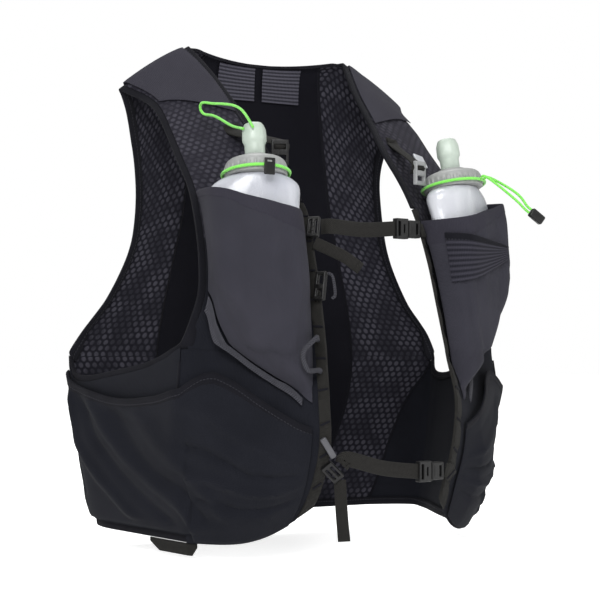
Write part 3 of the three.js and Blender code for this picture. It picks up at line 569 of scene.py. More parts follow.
class Nodes:
    """Short calls that add nodes to one material."""

    def __init__(self, name, rough, **sockets):
        self.material = bpy.data.materials.new(name)
        self.material.use_nodes = True
        self.tree = self.material.node_tree
        self.shader = self.tree.nodes["Principled BSDF"]
        self.shader.inputs["Roughness"].default_value = rough
        for key, value in sockets.items():
            self.shader.inputs[key.replace("_", " ")].default_value = value
        uv = self.tree.nodes.new("ShaderNodeUVMap")
        uv.uv_map = "UVMap"
        split = self.tree.nodes.new("ShaderNodeSeparateXYZ")
        self.tree.links.new(uv.outputs[0], split.inputs[0])
        self.u, self.v = split.outputs[0], split.outputs[1]
        self.place = self.tree.nodes.new("ShaderNodeTexCoord").outputs["Object"]

    def feed(self, socket, value):
        if isinstance(value, (int, float, tuple)):
            socket.default_value = value
        else:
            self.tree.links.new(value, socket)

    def math(self, kind, a, b=0.0, c=0.0):
        node = self.tree.nodes.new("ShaderNodeMath")
        node.operation = kind
        for socket, value in zip(node.inputs, (a, b, c)):
            self.feed(socket, value)
        return node.outputs[0]

    def times(self, a, b):
        return self.math("MULTIPLY", a, b)

    def times_plus(self, a, b, c):
        return self.math("MULTIPLY_ADD", a, b, c)

    def ramp(self, value, low, high, a=0.0, b=1.0):
        node = self.tree.nodes.new("ShaderNodeMapRange")
        node.interpolation_type = "SMOOTHSTEP"
        for socket, v in zip(node.inputs, (value, low, high, a, b)):
            self.feed(socket, v)
        return node.outputs[0]

    def noise(self, scale, detail=3, stretch=None):
        node = self.tree.nodes.new("ShaderNodeTexNoise")
        node.inputs["Scale"].default_value = scale
        node.inputs["Detail"].default_value = detail
        source = self.place
        if stretch:
            turn = self.tree.nodes.new("ShaderNodeMapping")
            turn.inputs["Scale"].default_value = stretch
            self.tree.links.new(source, turn.inputs[0])
            source = turn.outputs[0]
        self.tree.links.new(source, node.inputs["Vector"])
        return node.outputs[0]

    def wave(self, value, pitch):
        """0 to 1 and back once in each pitch."""
        return self.times_plus(self.math("SINE", self.times(value, 2 * math.pi / pitch)), 0.5, 0.5)

    def blend(self, share, a, b):
        node = self.tree.nodes.new("ShaderNodeMix")
        node.data_type = "RGBA"
        self.feed(node.inputs[0], share)
        self.feed(node.inputs[6], a)
        self.feed(node.inputs[7], b)
        return node.outputs[2]

    def done(self, colour, height=None, depth=0.0003, rough=None):
        self.feed(self.shader.inputs["Base Color"], colour)
        if rough is not None:
            self.feed(self.shader.inputs["Roughness"], rough)
        if height is not None:
            bump = self.tree.nodes.new("ShaderNodeBump")
            bump.inputs["Strength"].default_value = 1.0
            bump.inputs["Distance"].default_value = depth
            self.feed(bump.inputs["Height"], height)
            self.tree.links.new(bump.outputs[0], self.shader.inputs["Normal"])
        return self.material


def rgb(r, g, b, share=0.75):
    """A dark cloth or plastic colour, given as it looks under the studio light."""
    return tuple(share * (c / 255) ** 2.2 for c in (r, g, b)) + (1.0,)


def pale(r, g, b):
    return rgb(r, g, b, 0.72)


DULL = {"Sheen_Weight": 0.02, "Specular_IOR_Level": 0.06}


def knit(name, low, high, pitch=0.0011):
    """Fine stretch knit: ribs both ways, with a soft change of shade."""
    n = Nodes(name, 0.85, **DULL)
    ribs = n.times(n.wave(n.u, pitch), n.wave(n.v, pitch * 0.8))
    cloud = n.noise(30, 4)
    share = n.times_plus(ribs, 0.45, n.times(cloud, 0.55))
    return n.done(n.blend(share, low, high), n.times_plus(cloud, 0.5, ribs), 0.00025)


def honeycomb(name, low, high, pitch, size):
    """Rows of small raised cells, each second row moved by half a cell."""
    n = Nodes(name, 0.85, **DULL)
    row = n.math("DIVIDE", n.v, pitch * 0.8)
    odd = n.times(n.math("MODULO", n.math("FLOOR", row), 2.0), 0.5)
    column_at = n.math("DIVIDE", n.math("ADD", n.u, 1.0), pitch)
    x = n.math("SUBTRACT", n.math("FRACT", n.math("ADD", column_at, odd)), 0.5)
    y = n.times(n.math("SUBTRACT", n.math("FRACT", row), 0.5), 0.8)
    far = n.math("SQRT", n.math("ADD", n.times(x, x), n.times(y, y)))
    dot = n.ramp(far, size * 0.55, size, 1.0, 0.0)
    threads = n.times(n.wave(n.u, 0.0009), n.wave(n.v, 0.0009))
    patchy = n.times(dot, n.ramp(n.noise(55, 4), 0.38, 0.62, 0.25, 1.0))
    share = n.times_plus(threads, 0.2, n.times(patchy, 0.8))
    return n.done(n.blend(share, low, high), n.times_plus(dot, 0.8, n.times(threads, 0.3)), 0.0004)


def ribbed(name, low, high, pitch=0.0032):
    n = Nodes(name, 0.8, **DULL)
    rib, cross = n.wave(n.v, pitch), n.wave(n.u, pitch * 0.45)
    share = n.times_plus(cross, 0.25, n.times(rib, 0.75))
    return n.done(n.blend(share, low, high), share, 0.0005)


def woven(name, low, high, pitch=0.0013):
    """Webbing: slanting ribs that meet in the middle of the tape."""
    n = Nodes(name, 0.8, Sheen_Weight=0.02, Specular_IOR_Level=0.08)
    slant = n.times_plus(n.math("PINGPONG", n.v, 0.003), 0.8, n.u)
    rib = n.wave(slant, pitch)
    share = n.times_plus(n.noise(400, 2), 0.35, n.times(rib, 0.65))
    return n.done(n.blend(share, low, high), share, 0.0003)


STITCH = 0.0028         # metres from one stitch to the next


def stitched(name, low, high, thread, line):
    """Binding tape: a close twill with one row of stitches along its inner edge."""
    n = Nodes(name, 0.85, **DULL)
    rib = n.wave(n.math("ADD", n.u, n.v), 0.0009)
    away = n.math("ABSOLUTE", n.math("SUBTRACT", n.v, line))
    run = n.ramp(n.wave(n.u, STITCH), 0.28, 0.42)
    seam = n.times(n.ramp(away, 0.0003, 0.0005, 1.0, 0.0), run)
    groove = n.ramp(away, 0.0, 0.0012, 0.0, 1.0)
    base = n.blend(n.times_plus(n.noise(60, 3), 0.5, n.times(rib, 0.5)), low, high)
    height = n.math("ADD", n.times(rib, 0.25), n.math("ADD", groove, n.times(seam, 0.7)))
    return n.done(n.blend(seam, base, thread), height, 0.0004)


def plastic(name, low, high, rough, **sockets):
    """Moulded plastic: a fine spark-eroded grain and slightly worn, lighter patches."""
    n = Nodes(name, rough, **sockets)
    cloud = n.noise(90, 4)
    grain = n.noise(2600, 2)
    worn = n.ramp(n.noise(160, 5), 0.5, 0.75, rough, rough + 0.15)
    return n.done(n.blend(cloud, low, high), grain, 0.0001, worn)


def braid(name, low, high, dark):
    """Round cord: two sets of strands that cross, with painted shade in the grooves between them."""
    n = Nodes(name, 0.55, Sheen_Weight=0.2)
    one = n.wave(n.math("ADD", n.u, n.v), 0.0016)
    two = n.wave(n.math("SUBTRACT", n.u, n.v), 0.0016)
    share = n.math("MAXIMUM", one, two)
    # dark is a painted shade colour, put in the grooves between the strands
    return n.done(n.blend(n.ramp(share, 0.2, 0.8), dark, n.blend(n.noise(200, 2), low, high)), share, 0.0003)


MESH = honeycomb("honeycomb_mesh", rgb(36, 35, 42), rgb(64, 63, 71), 0.0066, 0.40)
BACK_MESH = honeycomb("back_mesh_cloth", rgb(28, 28, 34), rgb(70, 69, 77), 0.0068, 0.42)
POCKET = knit("pocket_cloth", rgb(46, 46, 52), rgb(64, 63, 71))
COVER = knit("cover_cloth", rgb(44, 43, 50), rgb(62, 61, 69), pitch=0.0013)
SMOOTH = knit("smooth_cloth", rgb(18, 18, 23), rgb(28, 28, 34))
STRETCH = knit("stretch_cloth", rgb(24, 25, 30), rgb(38, 39, 45), pitch=0.0012)
BINDING = stitched("binding_tape", rgb(18, 18, 22), rgb(34, 34, 39), rgb(50, 50, 55), 0.0062)
WEBBING = woven("webbing_tape", rgb(22, 22, 22), rgb(50, 49, 47))
ELASTIC = woven("elastic_tape", rgb(34, 34, 38), rgb(74, 74, 80), pitch=0.0018)
RIBBED = ribbed("ribbed_mesh", rgb(30, 30, 36), rgb(82, 81, 90))
STASH = ribbed("stash_mesh", rgb(28, 28, 34), rgb(58, 57, 65), pitch=0.0030)
BUCKLE = plastic("black_plastic", rgb(16, 16, 17), rgb(32, 32, 32), 0.38, Specular_IOR_Level=0.25)
DIM = plastic("dim_plastic", rgb(62, 62, 66), rgb(88, 88, 92), 0.4, Specular_IOR_Level=0.3)
GREY = plastic("grey_plastic", rgb(120, 121, 122), rgb(152, 153, 154), 0.35)
CAP = plastic("bottle_cap", pale(140, 142, 141), pale(168, 170, 168), 0.42, Transmission_Weight=0.15)
VALVE = plastic("bite_valve_rubber", pale(190, 206, 192), pale(214, 226, 214), 0.3, Transmission_Weight=0.25)
# The third colour is painted shade for the grooves between the cord's strands.
CORD = braid("green_cord", pale(118, 236, 70), pale(150, 250, 104), pale(62, 160, 34))
PALE = plastic("reflective_tape", pale(176, 179, 184), pale(204, 206, 210), 0.28, Metallic=0.25)


def bottle_material():
    n = Nodes("soft_bottle", 0.22, Transmission_Weight=0.35, IOR=1.45, Coat_Weight=0.4, Coat_Roughness=0.15)
    cloud = n.noise(22, 5, (1, 1, 0.35))
    fine = n.noise(900, 2)
    colour = n.blend(n.ramp(cloud, 0.3, 0.7), pale(205, 208, 220), pale(244, 246, 252))
    return n.done(colour, n.times_plus(cloud, 1.0, n.times(fine, 0.05)), 0.004)


BOTTLE = bottle_material()


# Panels

TRIM = BINDING_WIDTH + 1.5 * GAP
CORNER_TRIM = TRIM + 3 * GAP
WEBBING_END = 1.36
UNDER_BINDING = 5.2     # how far the panels reach under the armhole binding


def inset(length, a, b):
    return length / (a - b).length


def reach(length, point_at, v):
    """A length as a share of the row at v."""
    return inset(length, point_at(0, v), point_at(1, v))


def steps(low, high, count):
    return [mix(low, high, i / count) for i in range(count + 1)]


def grid(n, m, point_at):
    return [[point_at(i / n, j / m) for j in range(m + 1)] for i in range(n + 1)]


def strip(rows, m, point_at):
    return [[point_at(v, j / m) for j in range(m + 1)] for v in rows]


FOOT_LOW, FOOT_HIGH = 0.958, 0.966     # the panels step in between these, under the armhole binding
FRONT_ROWS = steps(0, FOOT_LOW, 26) + steps(FOOT_HIGH, 1.992, 44)


def pair(name, obj, slot, held="stretched"):
    """The piece for both sides, each in place of its node."""
    other = mirrored(obj, name + "_right_look")
    for side, o in (("left", obj), ("right", other)):
        o.name = f"{name}_{side}_look"
        if held:
            keep_sheet(o, slot, f"{name}_{side}")
        else:
            keep(o, slot, f"{name}_{side}")


def front_row(v, j):
    ends = front_point(0, v), front_point(1, v)
    outer = 0 if v < FOOT_HIGH else UNDER_BINDING
    inner = (WEBBING_WIDTH if v < WEBBING_END else BINDING_WIDTH) - 1
    return front_point(mix(inset(inner, *ends), 1 - inset(outer, *ends), j), v)


def strap_ease(i, j):
    """The strap cloth gives a little between its bindings."""
    return 0.5 * math.sin(34 * i + 3 * j) * math.sin(math.pi * j) * smooth(i, 0.55, 0.7)


front_grid = raised(strip(FRONT_ROWS, 24, front_row), strap_ease)
front = wall("front_panel_left_look", front_grid, 0.1, CLOTH - 0.1, MESH)
front.data.materials.append(STRETCH)
MESH_FOOT = -0.158      # the strap is honeycomb mesh above this height and plain stretch cloth below
for face in front.data.polygons:
    face.material_index = 1 if face.center.z < MESH_FOOT else 0
pair("front_panel", front, "honeycomb_mesh")


def side_row(i, j):
    ends = side_point(j, 0), side_point(j, 1)
    return side_point(j, mix(inset(TRIM - 1.5, *ends), 1 - inset(UNDER_BINDING, *ends), i))


side = wall("side_panel_left_look", grid(34, 54, side_row), 0.05, CLOTH - 0.15, STRETCH)
pair("side_panel", side, "stretch_cloth")


def middle_share(v):
    return column(MIDDLE, v / 2) * HALF_WIDTH / back_point(1, v).x


HEM_ROW = TRIM / BACK_HEM
NECK_ROW = 2 - inset(CORNER_TRIM + 5 * GAP, back_point(0, 1), back_point(0, 2)) * 0.72
BACK_ROWS = [HEM_ROW * 0.8] + steps(HEM_ROW, FOOT_LOW, 20) + steps(FOOT_HIGH, NECK_ROW, 34)


def middle_row(v, j):
    p = back_point(abs(2 * j - 1) * middle_share(v), v)
    p.x *= 1 if j > 0.5 else -1
    return p


def mesh_row(v, j):
    row = back_point(0, v), back_point(1, v)
    outer = 0 if v < FOOT_HIGH else UNDER_BINDING
    return back_point(mix(middle_share(v), 1 - inset(outer, *row), j), v)


middle = wall("back_middle_look", strip(BACK_ROWS, 60, middle_row), -CLOTH + 0.1, -0.1, SMOOTH)
keep_sheet(middle, "smooth_cloth", "back_middle")
back = wall("back_mesh_left_look", strip(BACK_ROWS, 22, mesh_row), -CLOTH + 0.1, -0.1, BACK_MESH)
pair("back_mesh", back, "honeycomb_mesh")


SEAM_HALF_WIDTH, SEAM_HEIGHT = 1.3, 0.5


def seam_ridge(name, line):
    """A low flat-felled seam over the joint of two panels."""
    stations = []
    for i, p in enumerate(line):
        ahead = (line[min(i + 1, len(line) - 1)] - line[max(i - 1, 0)]).normalized()
        out = square(outward(p), ahead)
        across = ahead.cross(out)
        shape = [(-1, -0.6), (-0.75, 0.75), (0, 1), (0.75, 0.75), (1, -0.6), (0, -1)]
        stations.append([p + across * a * SEAM_HALF_WIDTH + out * b * SEAM_HEIGHT for a, b in shape])
    return sweep(name, stations, BINDING, smooth_angle=70)


def outward(p):
    return Vector((p.x, p.y + 10, 0)).normalized()


felled = [back_point(middle_share(v), v) for v in BACK_ROWS[1:]]
slanted = [back_point(1, v) + outward(back_point(1, v)) * 0.2 for v in steps(HEM_ROW, 0.93, 30)]
sides = [front_point(1, v) + outward(front_point(1, v)) * CLOTH for v in steps(0.06, 0.9, 24)]
for k, line in enumerate((felled, slanted, sides)):
    ridge = seam_ridge(f"seam_{k}_left", line)
    keep(mirrored(ridge, f"seam_{k}_right"), "binding")
    keep(ridge, "binding")


# Bindings and webbing

def folded_band(name, pairs, material, closed=False, low=-0.4, high=2.4):
    """Tape folded over an edge: fuller over the edge and pressed flat at its inner side."""
    rows = [[a, a.lerp(b, 0.5), b] for a, b in pairs]
    normals = grid_normals(rows, closed)
    shape = [(0.02, 0.35), (-0.015, 0.6), (0.02, 0.82), (0.12, 0.98), (0.3, 1.0), (0.55, 0.93), (0.8, 0.84),
             (0.95, 0.8), (1.0, 0.62), (1.0, 0.2), (0.95, 0.06), (0.5, 0.0), (0.12, 0.0), (0.03, 0.1)]
    stations = []
    for (a, b), normal in zip(pairs, normals):
        stations.append([a.lerp(b, x) + normal[1] * mix(low, high, y) for x, y in shape])
    return sweep(name, stations, material, closed=closed, smooth_angle=60)


def even(pairs, count, closed=False):
    """The same band with many more stations, on a smooth curve."""
    one, two = Curve([a for a, b in pairs], closed), Curve([b for a, b in pairs], closed)
    return list(zip(one.line(count), two.line(count)))


def front_station(v, side, width):
    share = reach(width, front_point, v)
    return front_point(side, v), front_point(1 - share if side else share, v)


def armhole_pairs():
    low = BINDING_WIDTH / DROP

    def corner(point_at, v):
        return point_at(1 - reach(BINDING_WIDTH, point_at, v), v)

    found = [(front_point(1, 1), corner(front_point, 1 - low))]
    found += [front_station(v, 1, BINDING_WIDTH) for v in FRONT_ROWS if 1.05 < v < 1.96][::2]
    found.append(front_station(2, 1, BINDING_WIDTH))
    for v in [v for v in BACK_ROWS if v > 1.05][::-2]:
        found.append((back_point(1, v), corner(back_point, v)))
    found.append((back_point(1, 1), corner(back_point, 1 - low)))
    for t in steps(0.94, 0.06, 16):
        share = inset(BINDING_WIDTH, side_point(t, 0), side_point(t, 1))
        found.append((side_point(t, 1), side_point(t, 1 - share)))
    return found


armhole = folded_band("armhole_binding_left_look", even(armhole_pairs(), 260, True), BINDING, True)
pair("armhole_binding", armhole, "binding", held=None)


def both_sides(half):
    return half + [(flip(a), flip(b)) for a, b in half[::-1]]


down = inset(BINDING_WIDTH, back_point(0, 1), back_point(0, 2))
neck_half = [front_station(v, 0, BINDING_WIDTH) for v in [WEBBING_END + 0.004] + steps(1.4, 1.95, 14)]
neck_half.append(front_station(2, 0, BINDING_WIDTH))
neck_half += [(back_point(s * NECK_SHARE, 2), back_point(s * NECK_SHARE, 2 - down))
              for s in steps(0.9, 0.12, 8)]
neck = folded_band("neck_binding_look", even(both_sides(neck_half), 220), BINDING)
keep(neck, "binding", "neck_binding")

hem_half = [tuple(lower_point(0.975, level) for level in (-DROP, -DROP + BINDING_WIDTH))]
for t in [0.012] + steps(0.06, 1, 16):
    z = mix(-DROP, -BACK_HEM, t)
    hem_half.append(tuple(ring_point(level, t * slant_at(z)) for level in (z, z + BINDING_WIDTH)))
hem_half += [(back_point(u, 0), back_point(u, BINDING_WIDTH / BACK_HEM)) for u in steps(0.9, 0.06, 10)]
hem = folded_band("hem_binding_look", even(both_sides(hem_half), 220), BINDING)
keep(hem, "binding", "hem_binding")


def front_frame(u, v):
    step = 0.004
    across = (front_point(u + step, v) - front_point(u, v)).normalized()
    up = front_point(u, v + step) - front_point(u, v)
    up = square(up, across)
    return across, up, across.cross(up)


def on_front(u, v, height):
    return front_point(u, v) + front_frame(u, v)[2] * height


# The webbing down the front edge: tape with low loops between its bar tacks
LOOP = 24.0
webbing_line = [front_station(v, 0, WEBBING_WIDTH) for v in steps(0.012, WEBBING_END - 0.004, 150)]
run = running([edge for edge, inner in webbing_line])
stations = []
tacks = []
normals = grid_normals([[a, a.lerp(b, 0.5), b] for a, b in webbing_line])
for k, (a, b) in enumerate(webbing_line):
    phase = (run[k] / LOOP) % 1.0
    lift = 0.9 * smooth(phase, 0.1, 0.3) * (1 - smooth(phase, 0.7, 0.9))
    if run[k] // LOOP != run[k - 1] // LOOP and k:
        tacks.append((a, b, normals[k][1]))
    shape = [(0, 0.3), (0.0, 1.1), (0.06, 1.9), (0.5, 2.0), (0.94, 1.9), (1.0, 1.1), (1.0, 0.3), (0.5, 0.0)]
    stations.append([a.lerp(b, x) + normals[k][1] * (y + (lift if y > 1.5 else 0)) for x, y in shape])
parts = [sweep("webbing", stations, WEBBING, smooth_angle=60)]
for a, b, out in tacks:
    axes = b - a, out.cross(b - a), out
    parts.append(rounded_box("tack", a.lerp(b, 0.5) + out * 2.3, axes, (8.4, 1.7, 0.9), BINDING, 0.35))
pair("front_webbing", join("front_webbing_left_look", *parts), "webbing", held=None)


# Shoulder covers

ON_CLOTH = CLOTH + GAP


def cover_rows():
    def first(i, j):
        share = reach(TRIM - 1, front_point, 1.8)
        u = mix(share, 1 - share, j)
        return front_point(u, mix(mix(1.655, 1.815, u), 2, i))

    def second(i, j):
        v = mix(1.975, 1.87, i)
        share = reach(TRIM - 1, back_point, v)
        return back_point(mix(NECK_SHARE + share, 1 - share, j), v)

    return grid(26, 18, first) + grid(12, 18, second)


cover = wall("shoulder_cover_left_look", cover_rows(), ON_CLOTH + GAP, ON_CLOTH + GAP + SKIN, COVER)
pair("shoulder_cover", cover, "pocket_cloth", held="laid")


# Flask pockets

POCKET_START, POCKET_END, POCKET_SPILL = 0.11, 0.92, 6
POCKET_FOOT = [0.70, 0.80, 0.865, 0.93, 1.0, 1.06, 1.13]
POCKET_TOP = [1.325, 1.365, 1.415]
DEPTH_AT, DEPTH_OUT = [0.68, 0.85, 1.00, 1.16, 1.27, 1.42], [6, 19, 23, 26.5, 36, 53]


def pocket_point(s, v, lift=0.0):
    u = mix(POCKET_START, POCKET_END, s)
    a, b = front_point(0, v), front_point(1, v)
    out = Vector((b.y - a.y, a.x - b.x, 0)).normalized()
    base = front_point(u, v)
    foot = column(POCKET_FOOT, s)
    plump = smooth(v, foot - 0.05, foot + 0.12) * (1 - abs(2 * s - 1) ** 7)
    aside = Vector((-out.y, out.x, 0)) * (POCKET_SPILL * (2 * s - 1) * plump)
    free = a.lerp(b, u) + out * (along(DEPTH_AT, DEPTH_OUT, v) * plump)
    lay = mix(1.3, 1.7, clamp(v - 0.7, 0, 1)) * ON_CLOTH + lift
    return base + out * max((free - base).dot(out) + lift, lay) + aside


def crease(s, t, line, wide, deep):
    """A soft fold along a line of (s, t) points: positive stands out, negative sinks in."""
    best = 9.0
    for (a, b), (c, d) in zip(line, line[1:]):
        w = clamp(((s - a) * (c - a) + (t - b) * (d - b)) / ((c - a) ** 2 + (d - b) ** 2), 0, 1)
        best = min(best, math.hypot(s - mix(a, c, w), t - mix(b, d, w)))
    return deep * math.exp(-(best / wide) ** 2)


POCKET_FOLDS = [
    ([(0.30, 0.95), (0.26, 0.6), (0.30, 0.25)], 0.05, -1.1),
    ([(0.42, 1.0), (0.40, 0.5)], 0.05, 0.9),
    ([(0.62, 0.95), (0.66, 0.55), (0.60, 0.2)], 0.06, -1.0),
    ([(0.76, 0.9), (0.82, 0.5)], 0.05, 0.8),
    ([(0.05, 0.62), (0.22, 0.45), (0.36, 0.1)], 0.045, -1.3),
    ([(0.1, 0.35), (0.45, 0.12), (0.8, 0.1)], 0.04, -1.0),
    ([(0.12, 0.8), (0.12, 0.4)], 0.03, -0.9),
    ([(0.52, 0.3), (0.9, 0.22)], 0.05, 0.8),
]


def pocket_height(i, j):
    s = 0.5 - 0.5 * math.cos(math.pi * j)
    h = 1.3 * sum(crease(s, i, line, wide, deep) for line, wide, deep in POCKET_FOLDS)
    h += 0.45 * math.sin(17 * s + 6 * i) * math.sin(9 * i + 3)
    return h * smooth(i, 0, 0.08) * (1 - smooth(i, 0.9, 0.98)) * smooth(j, 0, 0.12) * (1 - smooth(j, 0.88, 1))


def pocket_row(i, j):
    s = 0.5 - 0.5 * math.cos(math.pi * j)
    return pocket_point(s, mix(column(POCKET_FOOT, s), column(POCKET_TOP, s), i))


pocket_grid = raised(grid(60, 44, pocket_row), pocket_height)
rim = folded_band("rim", even(list(zip(pocket_grid[-1], pocket_grid[-7])), 70), COVER, low=0.0, high=2.0)
pocket = join("flask_pocket_left_look", wall("pocket", pocket_grid, 0, SKIN, POCKET), rim)
pair("flask_pocket", pocket, "pocket_cloth")


def elastic_row(i, j):
    s = mix(0.08, 1, j)
    foot = column(POCKET_FOOT, s)
    step = (ELASTIC_WIDTH + GAP) / mix(DROP, RISE / 2, 0.5)
    return pocket_point(s, mix(foot - step, foot - 0.012, i), 2.4)


elastic = wall("pocket_elastic_left_look", grid(4, 60, elastic_row), 0, SKIN, ELASTIC)
pair("pocket_elastic", elastic, "webbing", held=None)


# Side pockets, with the folds of a loose stretch pouch

POUCH_Q = [0.12, 0.25, 0.45, 0.65, 0.85, 1.00, 1.30, 1.60, 1.85, 1.97]
POUCH_TOP = [-0.400, -0.345, -0.255, -0.165, -0.105, -0.220, -0.260, -0.190, -0.130, -0.100]
POUCH_OUT = [6, 10, 11, 9, 8, 8, 9, 5, 3.2, 2.6]
POUCH_FOLDS = [
    ([(0.86, 0.95), (0.80, 0.6), (0.60, 0.08)], 0.022, 3.2),
    ([(0.80, 0.95), (0.72, 0.65), (0.50, 0.06)], 0.024, -2.8),
    ([(0.74, 0.93), (0.66, 0.7), (0.42, 0.10)], 0.022, 3.0),
    ([(0.66, 0.9), (0.54, 0.45), (0.36, 0.16)], 0.028, -2.6),
    ([(0.58, 0.9), (0.46, 0.5), (0.28, 0.2)], 0.026, 2.2),
    ([(0.03, 0.55), (0.2, 0.5), (0.42, 0.6)], 0.022, -2.4),
    ([(0.03, 0.44), (0.2, 0.38), (0.4, 0.42)], 0.022, 2.4),
    ([(0.03, 0.32), (0.22, 0.26), (0.38, 0.28)], 0.024, -2.2),
    ([(0.92, 0.9), (0.86, 0.5), (0.82, 0.2)], 0.03, -1.6),
    ([(0.96, 0.8), (0.94, 0.3)], 0.02, 1.0),
    ([(0.42, 0.84), (0.28, 0.72), (0.06, 0.66)], 0.026, 1.8),
    ([(0.30, 0.12), (0.5, 0.05)], 0.03, 1.0),
]


def pouch_foot(q):
    if q < 0.9:
        return hem_at(q) + 2
    return -DROP + CORNER_TRIM if q < 1 else mix(-DROP, -BACK_HEM, q - 1) + CORNER_TRIM


def eased(values, q):
    """A column of the pouch's rows with its corners rounded off."""
    return sum(along(POUCH_Q, values, q + d) for d in (-0.10, -0.05, 0, 0.05, 0.10)) / 5


def pouch_row(i, j):
    q = mix(POUCH_Q[0], POUCH_Q[-1], j)
    return lower_point(q, mix(pouch_foot(q), eased(POUCH_TOP, q) * DROP, i))


def pouch_height(i, j):
    q = mix(POUCH_Q[0], POUCH_Q[-1], j)
    full = max(0.0, math.sin(math.pi * min(1, i * 1.15)))
    ends = min(1, 10 * min(j, 1 - j))
    full = max(full ** 0.6, smooth(i, 0.6, 1) * 0.5)
    base = ON_CLOTH + 2.5 * GAP + (eased(POUCH_OUT, q) - ON_CLOTH) * ends * full
    h = 1.35 * sum(crease(j, i, line, wide, deep) for line, wide, deep in POUCH_FOLDS)
    h += 0.5 * math.sin(31 * j + 11 * i) * math.sin(7 * i)
    return base + h * smooth(i, 0, 0.12) * (1 - 0.7 * smooth(i, 0.86, 0.96)) * ends


pouch_grid = raised(grid(46, 150, pouch_row), pouch_height)
rim = folded_band("rim", even(list(zip(pouch_grid[-1], pouch_grid[-4])), 150), BINDING, low=0.0, high=1.9)
pouch = join("side_pocket_left_look", wall("pouch", pouch_grid, 0, SKIN, STRETCH), rim)
pair("side_pocket", pouch, "stretch_cloth")


# Soft flasks

MOUTH = place(0.511, -0.669, 0.453)
AXIS = Vector((-0.05, 0.19, 1)).normalized()
ACROSS = square(Vector((0.94, 0.34, 0)), AXIS)
AHEAD = AXIS.cross(ACROSS)
FLASK_AT = [-0.755, -0.715, -0.650, -0.560, -0.420, -0.200, -0.030, 0.025, 0.070, 0.088]
FLASK_WIDE = [0.26, 0.50, 0.72, 0.88, 0.95, 0.94, 1.02, 1.03, 0.95, 0.72]
FLASK_DEEP = [0.22, 0.48, 0.70, 0.88, 0.98, 1.00, 1.02, 1.08, 1.08, 1.08]
FLASK_SHIFT = [16, 13, 10, 5, 0, -2.5, -3.6, -2, 0, 0]
CAP_FOOT = 0.088 * FLASK_LENGTH + GAP


def on_flask(x, y, z):
    return MOUTH + ACROSS * x + AHEAD * y + AXIS * z


stations = []
for k in range(61):
    at = mix(FLASK_AT[0], FLASK_AT[-1], k / 60)
    wide, deep, shift = [along(FLASK_AT, shares, at) for shares in (FLASK_WIDE, FLASK_DEEP, FLASK_SHIFT)]
    ring = []
    for a in angles(48):
        fold = 0.012 * math.sin(5 * a + 30 * at) * smooth(at, -0.2, -0.05) * (1 - smooth(at, 0.02, 0.07))
        r = 1 + fold
        ring.append(on_flask(wide * FLASK_HALF_WIDTH * math.cos(a) * r - shift,
                             deep * FLASK_HALF_DEPTH * math.sin(a) * r, at * FLASK_LENGTH))
    stations.append(ring)
for _ in range(3):
    threes = zip(stations, stations[1:], stations[2:])
    inner = [[(p + q + r) / 3 for p, q, r in zip(*three)] for three in threes]
    stations = [stations[0]] + inner + [stations[-1]]
flask = sweep("flask_body_left_look", stations, BOTTLE, smooth_angle=60)
pair("flask_body", flask, "bottle", held=None)


def round_flask(radius, angle, height):
    return on_flask(radius * math.cos(angle), radius * math.sin(angle), height)


def turned(name, profile, foot, material, sides, rib, smooth_angle=35):
    stations = [[round_flask(radius + rib(a, height), a, foot + height) for a in angles(sides)]
                for radius, height in profile]
    return sweep(name, stations, material, smooth_angle=smooth_angle)


def cap_rib(a, height):
    deep = 0.45 if math.sin(30 * a) > 0 else -0.25
    return deep * smooth(height, 1.5, 2.5) * (1 - smooth(height, 8.5, 9.5))


cap_profile = [(22, 0.0), (24.0, 0.0), (24.6, 0.6), (24.7, 1.6), (24.6, 2.4), (24.6, 4), (24.6, 6), (24.5, 8),
               (24.4, 9.3), (24.0, 10.6), (23.2, 12.0), (21.6, 13.4), (18.5, 14.6), (15, 15.2), (13.2, 15.5),
               (12.6, 16.2), (12.2, 17.0), (10.4, 17.0)]
cap = turned("flask_cap_left_look", cap_profile, CAP_FOOT, CAP, 240, cap_rib)
pair("flask_cap", cap, "bottle_cap", held=None)
valve_profile = [(7.8, 0), (8.1, 0.4), (8.1, 8.6), (8.3, 9.6), (9.2, 12.0), (9.5, 12.8), (9.55, 16),
                 (9.4, 19.5), (9.2, 21.6), (8.3, 24.2), (7.7, 25.8), (7.2, 26.6), (6.2, 27), (1.2, 27)]
valve = turned("bite_valve_left_look", valve_profile, CAP_FOOT + CAP_HEIGHT + GAP, VALVE, 40,
               lambda a, h: 0.25 * math.cos(6 * a) * smooth(h, 9, 12), 50)
pair("bite_valve", valve, "valve", held=None)
radius = CAP_RADIUS + NECK_CORD / 2 + GAP
ring_line = [round_flask(radius, a, CAP_FOOT + 3) for a in angles(64)]
ring = rope("flask_ring_left_look", ring_line, NECK_CORD, CORD, 12, True)
pair("flask_ring", ring, "green_cord", held=None)


# Cords

LOOP_PATH = [
    (-0.532, -0.672, 0.660), (-0.535, -0.541, 0.725), (-0.555, -0.405, 0.747), (-0.578, -0.257, 0.757),
    (-0.589, -0.169, 0.751), (-0.566, -0.230, 0.732), (-0.557, -0.351, 0.706), (-0.549, -0.473, 0.675),
    (-0.557, -0.622, 0.657),
]
BOW_RADIUS = 7.4        # before the passes, which draw it in to about 4.8 mm
BOW_PASSES = 30
CORD_PASSES = 12


def relaxed(line, passes):
    """The line with its sharp turns rounded. Each pass draws the points towards their neighbours."""
    for _ in range(passes):
        inner = [(a + b * 2 + c) / 4 for a, b, c in zip(line, line[1:], line[2:])]
        line = [line[0]] + inner + [line[-1]]
    return line


def evenly(line, count):
    """The line again, with equal steps."""
    run = running(line)
    found, i = [], 0
    for k in range(count + 1):
        at = run[-1] * k / count
        while i < len(line) - 2 and run[i + 1] < at:
            i += 1
        found.append(line[i].lerp(line[i + 1], (at - run[i]) / (run[i + 1] - run[i])))
    return found


